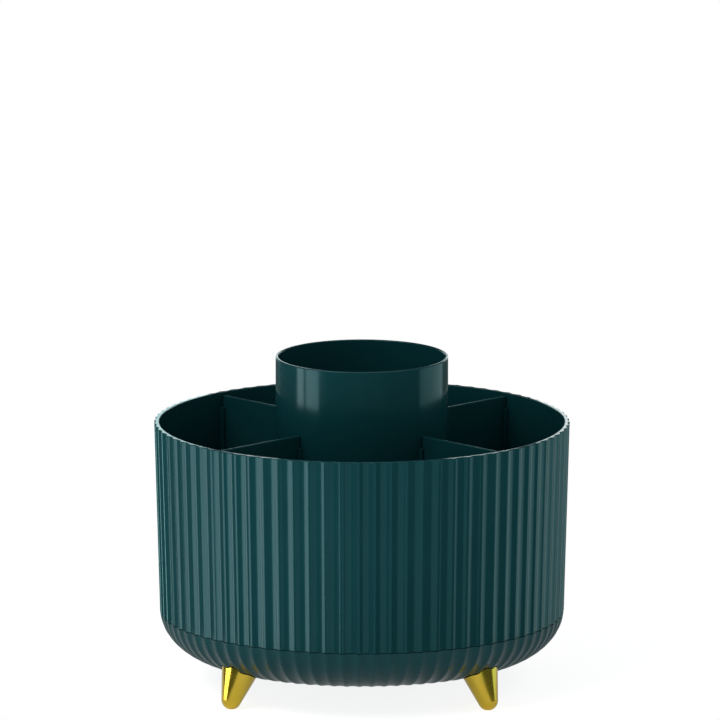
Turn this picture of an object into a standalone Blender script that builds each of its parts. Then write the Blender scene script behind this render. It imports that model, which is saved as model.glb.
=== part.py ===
"""Rotating makeup organizer.

A fluted tub turns on a ring of steel balls over a bowl-shaped base on four splayed legs.
Four lift-out panels and a tall lift-out cup in the middle divide the tub into compartments.
Metres, +Z up, origin on the ground under the turning axis, front towards -Y.
"""
import math

import bmesh
import bpy
from mathutils import Matrix, Vector

# Outside of the tub and of the base below it
RIM_RADIUS = 0.102
RIM_HEIGHT = 0.1307
WALL_DRAFT = math.radians(1.55)
SEAM_HEIGHT = 0.0356
SEAM_GAP = 0.0005
BOWL_SHOULDER_RISE = 0.0019
BOWL_FLANK_WIDTH = 0.0292
BOWL_BOTTOM_HEIGHT = 0.0137
FLUTE_COUNT = 80
FLUTE_DEPTH = 0.0009
SCOOP_SHARE = 0.85
FLUTE_FADE = math.radians(12.0)

# Walls and floors
TUB_WALL = 0.0017
TUB_FLOOR = 0.0024
TUB_FLOOR_RISE = 0.0030
BOWL_WALL = 0.0020
BOWL_FLOOR = 0.0026
DECK_THICKNESS = 0.0026
LIP_THICKNESS = 0.0012
LIP_DROP = 0.0022

# Cup in the middle
CUP_RADIUS = 0.0423
CUP_WALL = 0.0015
CUP_FLOOR = 0.0020
CUP_RISE = 0.0325
CUP_RING_THICKNESS = 0.0012
CUP_RING_HEIGHT = 0.0030

# Panels between the compartments, and the ribs that guide them
DIVIDER_COUNT = 4
DIVIDER_THICKNESS = 0.0016
DIVIDER_DROP = 0.0013
RIB_THICKNESS = 0.0012
RIB_DEPTH = 0.0022
RIB_DROP = 0.0060
FLOOR_RIB_HEIGHT = 0.0020
FLOOR_RIB_SETBACK = 0.0012

# Legs and their screws
LEG_COUNT = 4
LEG_SEAT_TURN = math.radians(63.0)
LEG_TAPER = math.radians(15.0)
LEG_TIP_RADIUS = 0.0049
FOOT_FLAT_CUT = 0.0004
SPIGOT_RADIUS = 0.0035
SPIGOT_LENGTH = 0.0046
BOSS_RADIUS = 0.0065
BOSS_ROOF = 0.0014

# Ball bearing
BALL_COUNT = 12
BALL_RADIUS = 0.0025
BALL_CIRCLE_RADIUS = 0.0580
RACE_WIDTH = 0.0090
RACE_FLOOR = 0.0008
RACE_RIM = 0.0016
CHANNEL_DEPTH = 0.0006
CAGE_WIDTH = 0.0095
CAGE_THICKNESS = 0.0012

# Pivot in the middle of the bearing
HUB_RADIUS = 0.0070
BUSH_WALL = 0.0026
BUSH_FLANGE_WIDTH = 0.0028
BUSH_FLANGE_THICKNESS = 0.0010
WASHER_RADIUS = 0.0110
WASHER_THICKNESS = 0.0010

# Screws
PIVOT_SHANK_RADIUS = 0.0020
PIVOT_HEAD_RADIUS = 0.0045
PIVOT_HEAD_HEIGHT = 0.0020
SMALL_SHANK_RADIUS = 0.0013
SMALL_HEAD_RADIUS = 0.0028
SMALL_HEAD_HEIGHT = 0.0017
SMALL_SCREW_LENGTH = 0.0100
PIVOT_SCREW_LENGTH = 0.0130
SOCKET_WIDTH_SHARE = 0.45
SOCKET_DEPTH_SHARE = 0.6
POST_RADIUS = 0.0045
POST_CIRCLE_RADIUS = 0.0380
POST_COUNT = 4

# Clearances
SEAT_GAP = 0.0003
RUNNING_GAP = 0.00015
END_PLAY = 0.0002
PANEL_END_GAP = 0.0005
LIP_GAP = 0.0004
DECK_EDGE_GAP = 0.0006
HEAD_ROOM = 0.0010
SCREW_GAP = 0.0003

# How far cutters run past a surface, and how far a rib or boss is sunk in before it is joined
OVERRUN = 0.0020
WELD_DEPTH = 0.0006
MERGE_DISTANCE = 0.00001

# Facets
FLUTE_COLUMNS = 3
FLANK_ROWS = 5
WALL_STEPS = 80
ENVELOPE_ROWS = 14
ENVELOPE_STEPS = 120
CAVITY_STEPS = 60
CUP_STEPS = 56
DECK_STEPS = 40
RACE_STEPS = 36
BUSH_STEPS = 24
LEG_STEPS = 16
SCREW_STEPS = 10
POCKET_STEPS = 10
TIP_ROWS = 3
GROOVE_POINTS = 4
HEX_SIDES = 6
SMOOTH_ANGLE = math.radians(30.0)

# Shares of a flute column that the turned guides are out of step, so that no corners meet
GUIDE_TURN_SHARES = {
    "dust_lip": 0.35,
    "tub_inside": 0.5,
    "tub_underside": 0.2,
    "cup_ring": 0.65,
    "bowl_inside": 0.5,
}

FULL_TURN = 2.0 * math.pi
QUARTER_TURN = 0.5 * math.pi
FIRST_CORNER = 0.5 * QUARTER_TURN

# Heights that follow from the sizes above
SHOULDER_HEIGHT = SEAM_HEIGHT + BOWL_SHOULDER_RISE
TUB_BOTTOM = SEAM_HEIGHT + 0.5 * SEAM_GAP
BOWL_TOP = SEAM_HEIGHT - 0.5 * SEAM_GAP
BOWL_INSIDE_FLOOR = BOWL_BOTTOM_HEIGHT + BOWL_FLOOR
FLOOR_UNDERSIDE = SEAM_HEIGHT + TUB_FLOOR_RISE
FLOOR_TOP = FLOOR_UNDERSIDE + TUB_FLOOR
UPPER_RACE_TOP = FLOOR_UNDERSIDE + CHANNEL_DEPTH - SEAT_GAP
BALL_CENTRE = UPPER_RACE_TOP - RACE_FLOOR - SEAT_GAP - BALL_RADIUS
LOWER_RACE_BOTTOM = BALL_CENTRE - BALL_RADIUS - SEAT_GAP - RACE_FLOOR
DECK_TOP = LOWER_RACE_BOTTOM - SEAT_GAP + CHANNEL_DEPTH
DECK_UNDERSIDE = DECK_TOP - DECK_THICKNESS
LIP_BOTTOM = SEAM_HEIGHT - LIP_DROP
FLANGE_BOTTOM = FLOOR_TOP + SEAT_GAP
FLANGE_TOP = FLANGE_BOTTOM + BUSH_FLANGE_THICKNESS
HUB_TOP = FLANGE_TOP + END_PLAY
WASHER_BOTTOM = HUB_TOP + SEAT_GAP
PIVOT_HEAD_BOTTOM = WASHER_BOTTOM + WASHER_THICKNESS + SEAT_GAP
CUP_BOTTOM = FLOOR_TOP + SEAT_GAP
CUP_FLOOR_UNDERSIDE = PIVOT_HEAD_BOTTOM + PIVOT_HEAD_HEIGHT + HEAD_ROOM
CUP_RIM = RIM_HEIGHT + CUP_RISE
DIVIDER_TOP = RIM_HEIGHT - DIVIDER_DROP
RIB_TOP = DIVIDER_TOP - RIB_DROP

# Widths that follow from them
SHOULDER_RADIUS = RIM_RADIUS - (RIM_HEIGHT - SHOULDER_HEIGHT) * math.tan(WALL_DRAFT)
BOWL_FLAT_RADIUS = SHOULDER_RADIUS - BOWL_FLANK_WIDTH
FLANK_DROP = SHOULDER_HEIGHT - BOWL_BOTTOM_HEIGHT
CAVITY_WIDTH = BOWL_FLANK_WIDTH - FLUTE_DEPTH - BOWL_WALL
CAVITY_DROP = SHOULDER_HEIGHT - BOWL_INSIDE_FLOOR
BUSH_RADIUS = HUB_RADIUS + RUNNING_GAP + BUSH_WALL
SMALL_HOLE_RADIUS = SMALL_SHANK_RADIUS + SCREW_GAP
PIVOT_HOLE_RADIUS = PIVOT_SHANK_RADIUS + SCREW_GAP

# Seat of a leg on the bowl, on the plane through the axis: the leg stands square to the surface
SEAT_RADIUS = BOWL_FLAT_RADIUS + BOWL_FLANK_WIDTH * math.cos(LEG_SEAT_TURN)
SEAT_HEIGHT = SHOULDER_HEIGHT - FLANK_DROP * math.sin(LEG_SEAT_TURN)
LEG_LEAN = math.atan2(math.cos(LEG_SEAT_TURN) / BOWL_FLANK_WIDTH,
                      math.sin(LEG_SEAT_TURN) / FLANK_DROP)
TIP_CENTRE_HEIGHT = LEG_TIP_RADIUS - FOOT_FLAT_CUT
LEG_REACH = (SEAT_HEIGHT - TIP_CENTRE_HEIGHT) / math.cos(LEG_LEAN)
BOSS_TOP = SPIGOT_LENGTH + SEAT_GAP + BOSS_ROOF

TEAL = (0.008, 0.075, 0.080, 1.0)
GOLD = (0.80, 0.56, 0.13, 1.0)
STEEL = (0.58, 0.58, 0.60, 1.0)
ZINC = (0.70, 0.70, 0.72, 1.0)
NYLON = (0.78, 0.77, 0.72, 1.0)
CHARCOAL = (0.020, 0.030, 0.032, 1.0)


def clear_scene():
    """Remove whatever objects the scene starts with."""
    for old in list(bpy.data.objects):
        bpy.data.objects.remove(old, do_unlink=True)


def new_collection(name):
    """Make a collection in the scene."""
    collection = bpy.data.collections.new(name)
    bpy.context.scene.collection.children.link(collection)
    return collection


def new_material(name, colour, roughness, metallic):
    """Make a Principled material."""
    material = bpy.data.materials.new(name)
    material.use_nodes = True
    shader = material.node_tree.nodes["Principled BSDF"]
    shader.inputs["Base Color"].default_value = colour
    shader.inputs["Roughness"].default_value = roughness
    shader.inputs["Metallic"].default_value = metallic
    return material


def new_object(name, mesh, collection, matrix=None):
    """Put a mesh in a collection as an object."""
    piece = bpy.data.objects.new(name, mesh)
    collection.objects.link(piece)
    if matrix is not None:
        piece.matrix_world = matrix
    return piece


def new_empty(name, collection):
    """Make an empty on the turning axis to carry what moves together."""
    empty = bpy.data.objects.new(name, None)
    empty.empty_display_size = HUB_RADIUS
    collection.objects.link(empty)
    return empty


def as_cutter(piece):
    """Mark an object as a guide that isn't part of the product."""
    piece.hide_render = True
    piece.display_type = "WIRE"
    return piece


def mesh_from_bmesh(name, bm):
    """Store a bmesh as a mesh and free it."""
    mesh = bpy.data.meshes.new(name)
    bm.to_mesh(mesh)
    bm.free()
    return mesh


def turned(name, profile, steps, collection):
    """Turn a profile of (radius, height) points about Z, with its outer side running down."""
    bm = bmesh.new()
    points = [bm.verts.new((radius, 0.0, height)) for radius, height in profile]
    for first, second in zip(points, points[1:]):
        bm.edges.new((first, second))
    if profile[0][0] > 0.0:
        bm.edges.new((points[-1], points[0]))
    piece = new_object(name, mesh_from_bmesh(name, bm), collection)
    screw = piece.modifiers.new("Turn", "SCREW")
    screw.angle = FULL_TURN
    screw.steps = steps
    screw.render_steps = steps
    screw.use_merge_vertices = True
    screw.merge_threshold = MERGE_DISTANCE
    screw.use_smooth_shade = False
    return piece


def turned_guide(name, profile, steps, cutters):
    """Turn a guide out of step with the flute columns and the other guides."""
    guide = turned(name, profile, steps, cutters)
    guide.rotation_euler.z = GUIDE_TURN_SHARES[name] * FULL_TURN / (FLUTE_COUNT * FLUTE_COLUMNS)
    return guide


def baked_mesh(piece):
    """Return the evaluated mesh of an object and remove the object."""
    depsgraph = bpy.context.evaluated_depsgraph_get()
    mesh = bpy.data.meshes.new_from_object(piece.evaluated_get(depsgraph))
    mesh.name = piece.name
    bpy.data.objects.remove(piece, do_unlink=True)
    return mesh


def round_bar(name, radius, low, high, steps, collection, matrix=None):
    """Make a closed cylinder about Z between two heights."""
    bm = bmesh.new()
    middle = Matrix.Translation((0.0, 0.0, 0.5 * (low + high)))
    bmesh.ops.create_cone(bm, cap_ends=True, segments=steps, radius1=radius, radius2=radius,
                          depth=high - low, matrix=middle)
    return new_object(name, mesh_from_bmesh(name, bm), collection, matrix)


def flat_plate(name, outline, thickness, collection):
    """Extrude a flat outline of (radius, height) points to a plate that stands on the X axis."""
    curve = bpy.data.curves.new(name, "CURVE")
    curve.dimensions = "2D"
    curve.fill_mode = "BOTH"
    curve.extrude = 0.5 * thickness
    spline = curve.splines.new("POLY")
    spline.points.add(len(outline) - 1)
    for point, (radius, height) in zip(spline.points, outline):
        point.co = (radius, height, 0.0, 1.0)
    spline.use_cyclic_u = True
    mesh = baked_mesh(new_object(name, curve, collection))
    bm = bmesh.new()
    bm.from_mesh(mesh)
    bmesh.ops.remove_doubles(bm, verts=bm.verts, dist=MERGE_DISTANCE)
    bmesh.ops.recalc_face_normals(bm, faces=bm.faces)
    bm.transform(Matrix.Rotation(QUARTER_TURN, 4, "X"))
    bm.to_mesh(mesh)
    bm.free()
    return mesh


def copies(name, mesh, matrices):
    """Gather placed copies of one closed mesh as separate bodies of a single mesh."""
    bm = bmesh.new()
    for matrix in matrices:
        placed = mesh.copy()
        placed.transform(matrix)
        bm.from_mesh(placed)
        bpy.data.meshes.remove(placed)
    return mesh_from_bmesh(name, bm)


def combine(piece, other, operation):
    """Add an exact Boolean with a guide object."""
    modifier = piece.modifiers.new(other.name, "BOOLEAN")
    modifier.operation = operation
    modifier.solver = "EXACT"
    modifier.object = as_cutter(other)


def shade_and_paint(piece, material):
    """Shade the round faces smooth and give the piece its material."""
    piece.data.shade_smooth()
    piece.data.set_sharp_from_angle(angle=SMOOTH_ANGLE)
    piece.data.materials.clear()
    piece.data.materials.append(material)


def turn_about_z(angle):
    """Rotation about the organizer's axis."""
    return Matrix.Rotation(angle, 4, "Z")


def corner_angles(count):
    """Angles of evenly spaced diagonals, starting behind the right side."""
    return [FIRST_CORNER + index * FULL_TURN / count for index in range(count)]


def wall_radius(height):
    """Radius on the flute crests of the drafted outer wall."""
    return RIM_RADIUS - (RIM_HEIGHT - height) * math.tan(WALL_DRAFT)


def tub_inner_radius(height):
    """Radius of the tub's smooth inner wall."""
    return wall_radius(height) - FLUTE_DEPTH - TUB_WALL


def bowl_inner_radius(height):
    """Radius of the bowl's smooth inside."""
    drop_share = (SHOULDER_HEIGHT - height) / CAVITY_DROP
    return BOWL_FLAT_RADIUS + CAVITY_WIDTH * math.sqrt(1.0 - drop_share ** 2)


def flank_turn(height):
    """Turn along the rounded flank, from zero at the shoulder to a quarter turn at the bottom."""
    drop_share = (SHOULDER_HEIGHT - height) / FLANK_DROP
    return math.asin(max(0.0, min(1.0, drop_share)))


def flank_normal(turn):
    """Outward direction of the rounded flank at a turn, as radius and height."""
    return Vector((math.cos(turn) / BOWL_FLANK_WIDTH, -math.sin(turn) / FLANK_DROP)).normalized()


def flank_point(turn, offset=0.0):
    """Point of the rounded flank at a turn, moved out along its normal by an offset."""
    normal = flank_normal(turn)
    radius = BOWL_FLAT_RADIUS + BOWL_FLANK_WIDTH * math.cos(turn) + offset * normal.x
    height = SHOULDER_HEIGHT - FLANK_DROP * math.sin(turn) + offset * normal.y
    return radius, height


def flute_depth(angle):
    """Depth of a scoop at an angle about the axis, zero on the crests between scoops."""
    share = (angle * FLUTE_COUNT / FULL_TURN) % 1.0
    across = (share - 0.5) / (0.5 * SCOOP_SHARE)
    return FLUTE_DEPTH * max(0.0, 1.0 - across ** 2)


def cut_flutes(mesh):
    """Sink the scoops into a turned skin, square to its profile and narrower with its radius."""
    for vertex in mesh.vertices:
        radius = math.hypot(vertex.co.x, vertex.co.y)
        if radius < BOWL_FLAT_RADIUS - MERGE_DISTANCE:
            continue
        angle = math.atan2(vertex.co.y, vertex.co.x)
        turn = flank_turn(vertex.co.z)
        fade = min(1.0, (QUARTER_TURN - turn) / FLUTE_FADE)
        depth = flute_depth(angle) * fade * radius / RIM_RADIUS
        normal = flank_normal(turn)
        vertex.co.x -= depth * normal.x * math.cos(angle)
        vertex.co.y -= depth * normal.x * math.sin(angle)
        vertex.co.z -= depth * normal.y


def fluted_solid(name, profile, collection):
    """Turn a profile with whole columns in each flute, then sink the flutes."""
    mesh = baked_mesh(turned(name, profile, FLUTE_COUNT * FLUTE_COLUMNS, collection))
    cut_flutes(mesh)
    return new_object(name, mesh, collection)


def leg_frame(angle):
    """Frame at a leg's seat on the bowl, with +Z up the leg into the bowl."""
    seat = Matrix.Translation((SEAT_RADIUS, 0.0, SEAT_HEIGHT))
    return turn_about_z(angle) @ seat @ Matrix.Rotation(-LEG_LEAN, 4, "Y")


def groove_profile(centre_height, side):
    """Arc of a race's groove, seen from the ball: side is -1 below the ball and +1 above it."""
    groove_radius = BALL_RADIUS + SEAT_GAP
    depth = RACE_RIM - RACE_FLOOR
    half_angle = math.acos((groove_radius - depth) / groove_radius)
    points = []
    for index in range(GROOVE_POINTS + 1):
        angle = half_angle * (2.0 * index / GROOVE_POINTS - 1.0)
        radius = BALL_CIRCLE_RADIUS + groove_radius * math.sin(angle)
        points.append((radius, centre_height + side * groove_radius * math.cos(angle)))
    return points


def screw_mesh(name, head_radius, head_height, shank_radius, length, collection):
    """Make a flat-headed screw with a hex socket: the head stands on the zero plane."""
    profile = [
        (0.0, head_height),
        (head_radius, head_height),
        (head_radius, 0.0),
        (shank_radius, 0.0),
        (shank_radius, shank_radius - length),
        (0.0, -length),
    ]
    screw = turned(name, profile, SCREW_STEPS, collection)
    socket = round_bar(name + "_socket", head_radius * SOCKET_WIDTH_SHARE,
                       head_height * (1.0 - SOCKET_DEPTH_SHARE), head_height + OVERRUN,
                       HEX_SIDES, collection)
    combine(screw, socket, "DIFFERENCE")
    mesh = baked_mesh(screw)
    bpy.data.objects.remove(socket, do_unlink=True)
    return mesh


def make_tub(parts, cutters):
    """Fluted drum with its floor, dust lip, panel guides and the ring that centres the cup."""
    skin = [
        (0.0, RIM_HEIGHT),
        (RIM_RADIUS, RIM_HEIGHT),
        (wall_radius(TUB_BOTTOM), TUB_BOTTOM),
        (0.0, TUB_BOTTOM),
    ]
    tub = fluted_solid("tub", skin, parts)
    lip_outer = bowl_inner_radius(LIP_BOTTOM) - LIP_GAP
    lip_inner = lip_outer - LIP_THICKNESS
    lip = turned_guide("dust_lip", [
        (lip_inner - WELD_DEPTH, FLOOR_UNDERSIDE - WELD_DEPTH),
        (lip_outer, FLOOR_UNDERSIDE - WELD_DEPTH),
        (lip_outer, LIP_BOTTOM),
        (lip_inner - WELD_DEPTH, LIP_BOTTOM),
    ], WALL_STEPS, cutters)
    combine(tub, lip, "UNION")
    inside_top = RIM_HEIGHT + OVERRUN
    clear_of_cup = CUP_RADIUS + RIB_DEPTH + 0.5 * FLOOR_RIB_SETBACK
    inside = turned_guide("tub_inside", [
        (0.0, inside_top),
        (tub_inner_radius(inside_top), inside_top),
        (tub_inner_radius(FLOOR_TOP), FLOOR_TOP),
        (clear_of_cup, FLOOR_TOP),
        (0.0, FLOOR_TOP),
    ], WALL_STEPS, cutters)
    combine(tub, inside, "DIFFERENCE")
    half_channel = 0.5 * RACE_WIDTH + SEAT_GAP
    underside = turned_guide("tub_underside", [
        (0.0, FLOOR_TOP + OVERRUN),
        (BUSH_RADIUS + SEAT_GAP, FLOOR_TOP + OVERRUN),
        (BUSH_RADIUS + SEAT_GAP, FLOOR_UNDERSIDE),
        (BALL_CIRCLE_RADIUS - half_channel, FLOOR_UNDERSIDE),
        (BALL_CIRCLE_RADIUS - half_channel, FLOOR_UNDERSIDE + CHANNEL_DEPTH),
        (BALL_CIRCLE_RADIUS + half_channel, FLOOR_UNDERSIDE + CHANNEL_DEPTH),
        (BALL_CIRCLE_RADIUS + half_channel, FLOOR_UNDERSIDE),
        (lip_inner, FLOOR_UNDERSIDE),
        (lip_inner, LIP_BOTTOM - OVERRUN),
        (0.0, LIP_BOTTOM - OVERRUN),
    ], CAVITY_STEPS, cutters)
    combine(tub, underside, "DIFFERENCE")
    ring_outer = CUP_RADIUS - CUP_WALL - LIP_GAP
    ring = turned_guide("cup_ring", [
        (ring_outer - CUP_RING_THICKNESS, FLOOR_TOP + CUP_RING_HEIGHT),
        (ring_outer, FLOOR_TOP + CUP_RING_HEIGHT),
        (ring_outer, FLOOR_TOP - WELD_DEPTH),
        (ring_outer - CUP_RING_THICKNESS, FLOOR_TOP - WELD_DEPTH),
    ], CUP_STEPS, cutters)
    combine(tub, ring, "UNION")
    combine(tub, make_panel_guides(cutters), "UNION")
    return tub


def rib_offset():
    """Distance from a panel's middle plane to the middle of the rib beside it."""
    return 0.5 * DIVIDER_THICKNESS + SEAT_GAP + 0.5 * RIB_THICKNESS


def pair_frames():
    """Frames of the ribs on both sides of each panel."""
    frames = []
    for angle in corner_angles(DIVIDER_COUNT):
        for side in (-1.0, 1.0):
            shift = Matrix.Translation((0.0, side * rib_offset(), 0.0))
            frames.append(turn_about_z(angle) @ shift)
    return frames


def make_panel_guides(cutters):
    """Ribs on the tub's floor and wall, a pair for each panel, as separate bodies."""
    start = CUP_RADIUS + RIB_DEPTH + FLOOR_RIB_SETBACK
    rib_floor = FLOOR_TOP + FLOOR_RIB_HEIGHT
    root = FLOOR_TOP - WELD_DEPTH
    outline = [
        (start, root),
        (tub_inner_radius(root) + WELD_DEPTH, root),
        (tub_inner_radius(RIB_TOP) + WELD_DEPTH, RIB_TOP),
        (tub_inner_radius(RIB_TOP) - RIB_DEPTH, RIB_TOP),
        (tub_inner_radius(rib_floor) - RIB_DEPTH, rib_floor),
        (start, rib_floor),
    ]
    rib = flat_plate("panel_guide", outline, RIB_THICKNESS, cutters)
    return new_object("panel_guides", copies("panel_guides", rib, pair_frames()), cutters)


def make_base_bowl(parts, cutters):
    """Fluted bowl with posts for the deck and a socketed boss above each leg."""
    skin = [(0.0, SHOULDER_HEIGHT)]
    for row in range(FLANK_ROWS + 1):
        skin.append(flank_point(QUARTER_TURN * row / FLANK_ROWS))
    skin.append((0.0, BOWL_BOTTOM_HEIGHT))
    bowl = fluted_solid("base_bowl", skin, parts)
    inside = [
        (0.0, SHOULDER_HEIGHT + OVERRUN),
        (RIM_RADIUS, SHOULDER_HEIGHT + OVERRUN),
        (RIM_RADIUS, BOWL_TOP),
    ]
    first_turn = math.asin((SHOULDER_HEIGHT - BOWL_TOP) / CAVITY_DROP)
    for row in range(FLANK_ROWS + 1):
        turn = first_turn + (QUARTER_TURN - first_turn) * row / FLANK_ROWS
        inside.append((BOWL_FLAT_RADIUS + CAVITY_WIDTH * math.cos(turn),
                       SHOULDER_HEIGHT - CAVITY_DROP * math.sin(turn)))
    inside.append((0.0, BOWL_INSIDE_FLOOR))
    combine(bowl, turned_guide("bowl_inside", inside, CAVITY_STEPS, cutters), "DIFFERENCE")
    boss = round_bar("boss", BOSS_RADIUS, FLUTE_DEPTH + 0.5 * BOWL_WALL, BOSS_TOP, LEG_STEPS, cutters)
    post = round_bar("post", POST_RADIUS, BOWL_INSIDE_FLOOR - WELD_DEPTH, DECK_UNDERSIDE - SEAT_GAP,
                     SCREW_STEPS, cutters)
    frames = [leg_frame(angle) for angle in corner_angles(LEG_COUNT)]
    bosses = new_object("bosses", copies("bosses", baked_mesh(boss), frames), cutters)
    posts = new_object("posts", copies("posts", baked_mesh(post), post_frames(0.0)), cutters)
    combine(bowl, bosses, "UNION")
    combine(bowl, posts, "UNION")
    socket = turned("socket", [
        (0.0, BOSS_TOP + OVERRUN),
        (SMALL_HOLE_RADIUS, BOSS_TOP + OVERRUN),
        (SMALL_HOLE_RADIUS, SPIGOT_LENGTH + SEAT_GAP),
        (SPIGOT_RADIUS + SEAT_GAP, SPIGOT_LENGTH + SEAT_GAP),
        (SPIGOT_RADIUS + SEAT_GAP, -OVERRUN),
        (0.0, -OVERRUN),
    ], LEG_STEPS, cutters)
    screw_tip = DECK_TOP + SEAT_GAP - SMALL_SCREW_LENGTH
    pilot = round_bar("pilot", SMALL_HOLE_RADIUS, screw_tip - SCREW_GAP, DECK_UNDERSIDE + OVERRUN,
                      SCREW_STEPS, cutters)
    sockets = new_object("sockets", copies("sockets", baked_mesh(socket), frames), cutters)
    pilots = new_object("pilots", copies("pilots", baked_mesh(pilot), post_frames(0.0)), cutters)
    combine(bowl, sockets, "DIFFERENCE")
    combine(bowl, pilots, "DIFFERENCE")
    return bowl


def post_frames(height):
    """Frames of the deck's screw posts at a height."""
    frames = []
    for index in range(POST_COUNT):
        place = Matrix.Translation((POST_CIRCLE_RADIUS, 0.0, height))
        frames.append(turn_about_z(index * FULL_TURN / POST_COUNT) @ place)
    return frames


def make_base_deck(parts, cutters):
    """Disc that closes the bowl, with the channel of the lower race and the pivot hub."""
    half_channel = 0.5 * RACE_WIDTH + SEAT_GAP
    edge = bowl_inner_radius(DECK_UNDERSIDE) - DECK_EDGE_GAP
    deck = turned("base_deck", [
        (PIVOT_HOLE_RADIUS, HUB_TOP),
        (HUB_RADIUS, HUB_TOP),
        (HUB_RADIUS, DECK_TOP),
        (BALL_CIRCLE_RADIUS - half_channel, DECK_TOP),
        (BALL_CIRCLE_RADIUS - half_channel, DECK_TOP - CHANNEL_DEPTH),
        (BALL_CIRCLE_RADIUS + half_channel, DECK_TOP - CHANNEL_DEPTH),
        (BALL_CIRCLE_RADIUS + half_channel, DECK_TOP),
        (edge, DECK_TOP),
        (edge, DECK_UNDERSIDE),
        (PIVOT_HOLE_RADIUS, DECK_UNDERSIDE),
    ], DECK_STEPS, parts)
    hole = round_bar("deck_hole", SMALL_HOLE_RADIUS, DECK_UNDERSIDE - OVERRUN, DECK_TOP + OVERRUN,
                     SCREW_STEPS, cutters)
    holes = new_object("deck_holes", copies("deck_holes", baked_mesh(hole), post_frames(0.0)), cutters)
    combine(deck, holes, "DIFFERENCE")
    return deck


def make_legs(parts, cutters):
    """Four tapered legs with round tips, cut to the bowl above and level with the ground below."""
    tip_centre = -LEG_REACH
    tangent_height = tip_centre - LEG_TIP_RADIUS * math.sin(LEG_TAPER)
    tangent_radius = LEG_TIP_RADIUS * math.cos(LEG_TAPER)
    root = SPIGOT_LENGTH
    root_radius = tangent_radius + (root - tangent_height) * math.tan(LEG_TAPER)
    profile = [(0.0, root), (root_radius, root)]
    for row in range(TIP_ROWS):
        turn = LEG_TAPER + (QUARTER_TURN - LEG_TAPER) * row / TIP_ROWS
        profile.append((LEG_TIP_RADIUS * math.cos(turn), tip_centre - LEG_TIP_RADIUS * math.sin(turn)))
    profile.append((0.0, tip_centre - LEG_TIP_RADIUS))
    frame = leg_frame(corner_angles(LEG_COUNT)[0])
    body = baked_mesh(turned("leg_body", profile, LEG_STEPS, cutters))
    leg = new_object("leg", body, parts, frame)
    envelope = [(0.0, SHOULDER_HEIGHT)]
    for row in range(ENVELOPE_ROWS + 1):
        envelope.append(flank_point(QUARTER_TURN * row / ENVELOPE_ROWS, SEAT_GAP))
    envelope.append((0.0, BOWL_BOTTOM_HEIGHT - SEAT_GAP))
    combine(leg, turned("bowl_envelope", envelope, ENVELOPE_STEPS, cutters), "DIFFERENCE")
    ground = round_bar("ground", RIM_RADIUS + LEG_REACH, -LEG_TIP_RADIUS, 0.0, LEG_STEPS, cutters)
    combine(leg, ground, "DIFFERENCE")
    spigot = round_bar("spigot", SPIGOT_RADIUS, -SPIGOT_LENGTH, SPIGOT_LENGTH, LEG_STEPS, cutters, frame)
    combine(leg, spigot, "UNION")
    screw_tip = BOSS_TOP + SEAT_GAP - SMALL_SCREW_LENGTH
    pilot = round_bar("leg_pilot", SMALL_HOLE_RADIUS, screw_tip - SCREW_GAP, SPIGOT_LENGTH + OVERRUN,
                      SCREW_STEPS, cutters, frame)
    combine(leg, pilot, "DIFFERENCE")
    first_turn = turn_about_z(-corner_angles(LEG_COUNT)[0])
    mesh = baked_mesh(leg)
    mesh.transform(first_turn @ frame)
    legs = []
    names = ("leg_back_right", "leg_back_left", "leg_front_left", "leg_front_right")
    for name, angle in zip(names, corner_angles(LEG_COUNT)):
        legs.append(new_object(name, mesh, parts, turn_about_z(angle)))
    return legs


def make_race(name, centre_side, parts):
    """Grooved steel ring below or above the balls."""
    outer = BALL_CIRCLE_RADIUS + 0.5 * RACE_WIDTH
    inner = BALL_CIRCLE_RADIUS - 0.5 * RACE_WIDTH
    groove = groove_profile(BALL_CENTRE, centre_side)
    if centre_side < 0.0:
        rim = LOWER_RACE_BOTTOM + RACE_RIM
        profile = [(inner, rim)] + groove
        profile += [(outer, rim), (outer, LOWER_RACE_BOTTOM), (inner, LOWER_RACE_BOTTOM)]
    else:
        rim = UPPER_RACE_TOP - RACE_RIM
        profile = [(inner, UPPER_RACE_TOP), (outer, UPPER_RACE_TOP), (outer, rim)]
        profile += groove[::-1] + [(inner, rim)]
    return turned(name, profile, RACE_STEPS, parts)


def ball_frames():
    """Frames of the balls around their circle."""
    frames = []
    for index in range(BALL_COUNT):
        place = Matrix.Translation((BALL_CIRCLE_RADIUS, 0.0, BALL_CENTRE))
        frames.append(turn_about_z(index * FULL_TURN / BALL_COUNT) @ place)
    return frames


def make_ball_cage(parts, cutters):
    """Flat ring with a pocket for each ball."""
    outer = BALL_CIRCLE_RADIUS + 0.5 * CAGE_WIDTH
    inner = BALL_CIRCLE_RADIUS - 0.5 * CAGE_WIDTH
    low = BALL_CENTRE - 0.5 * CAGE_THICKNESS
    high = BALL_CENTRE + 0.5 * CAGE_THICKNESS
    cage = turned("ball_cage", [(inner, high), (outer, high), (outer, low), (inner, low)],
                  RACE_STEPS, parts)
    pocket = round_bar("pocket", (BALL_RADIUS + SEAT_GAP) / math.cos(math.pi / POCKET_STEPS),
                       -CAGE_THICKNESS, CAGE_THICKNESS, POCKET_STEPS, cutters)
    pockets = new_object("pockets", copies("pockets", baked_mesh(pocket), ball_frames()), cutters)
    combine(cage, pockets, "DIFFERENCE")
    return cage


def placed_set(name, mesh, frames, parts):
    """Place numbered objects that share one mesh."""
    pieces = []
    for number, frame in enumerate(frames, start=1):
        pieces.append(new_object(f"{name}_{number:02d}", mesh, parts, frame))
    return pieces


def make_balls(parts):
    """Steel balls, one in each pocket of the cage."""
    bm = bmesh.new()
    bmesh.ops.create_icosphere(bm, subdivisions=2, radius=BALL_RADIUS)
    return placed_set("bearing_ball", mesh_from_bmesh("bearing_ball", bm), ball_frames(), parts)


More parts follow.
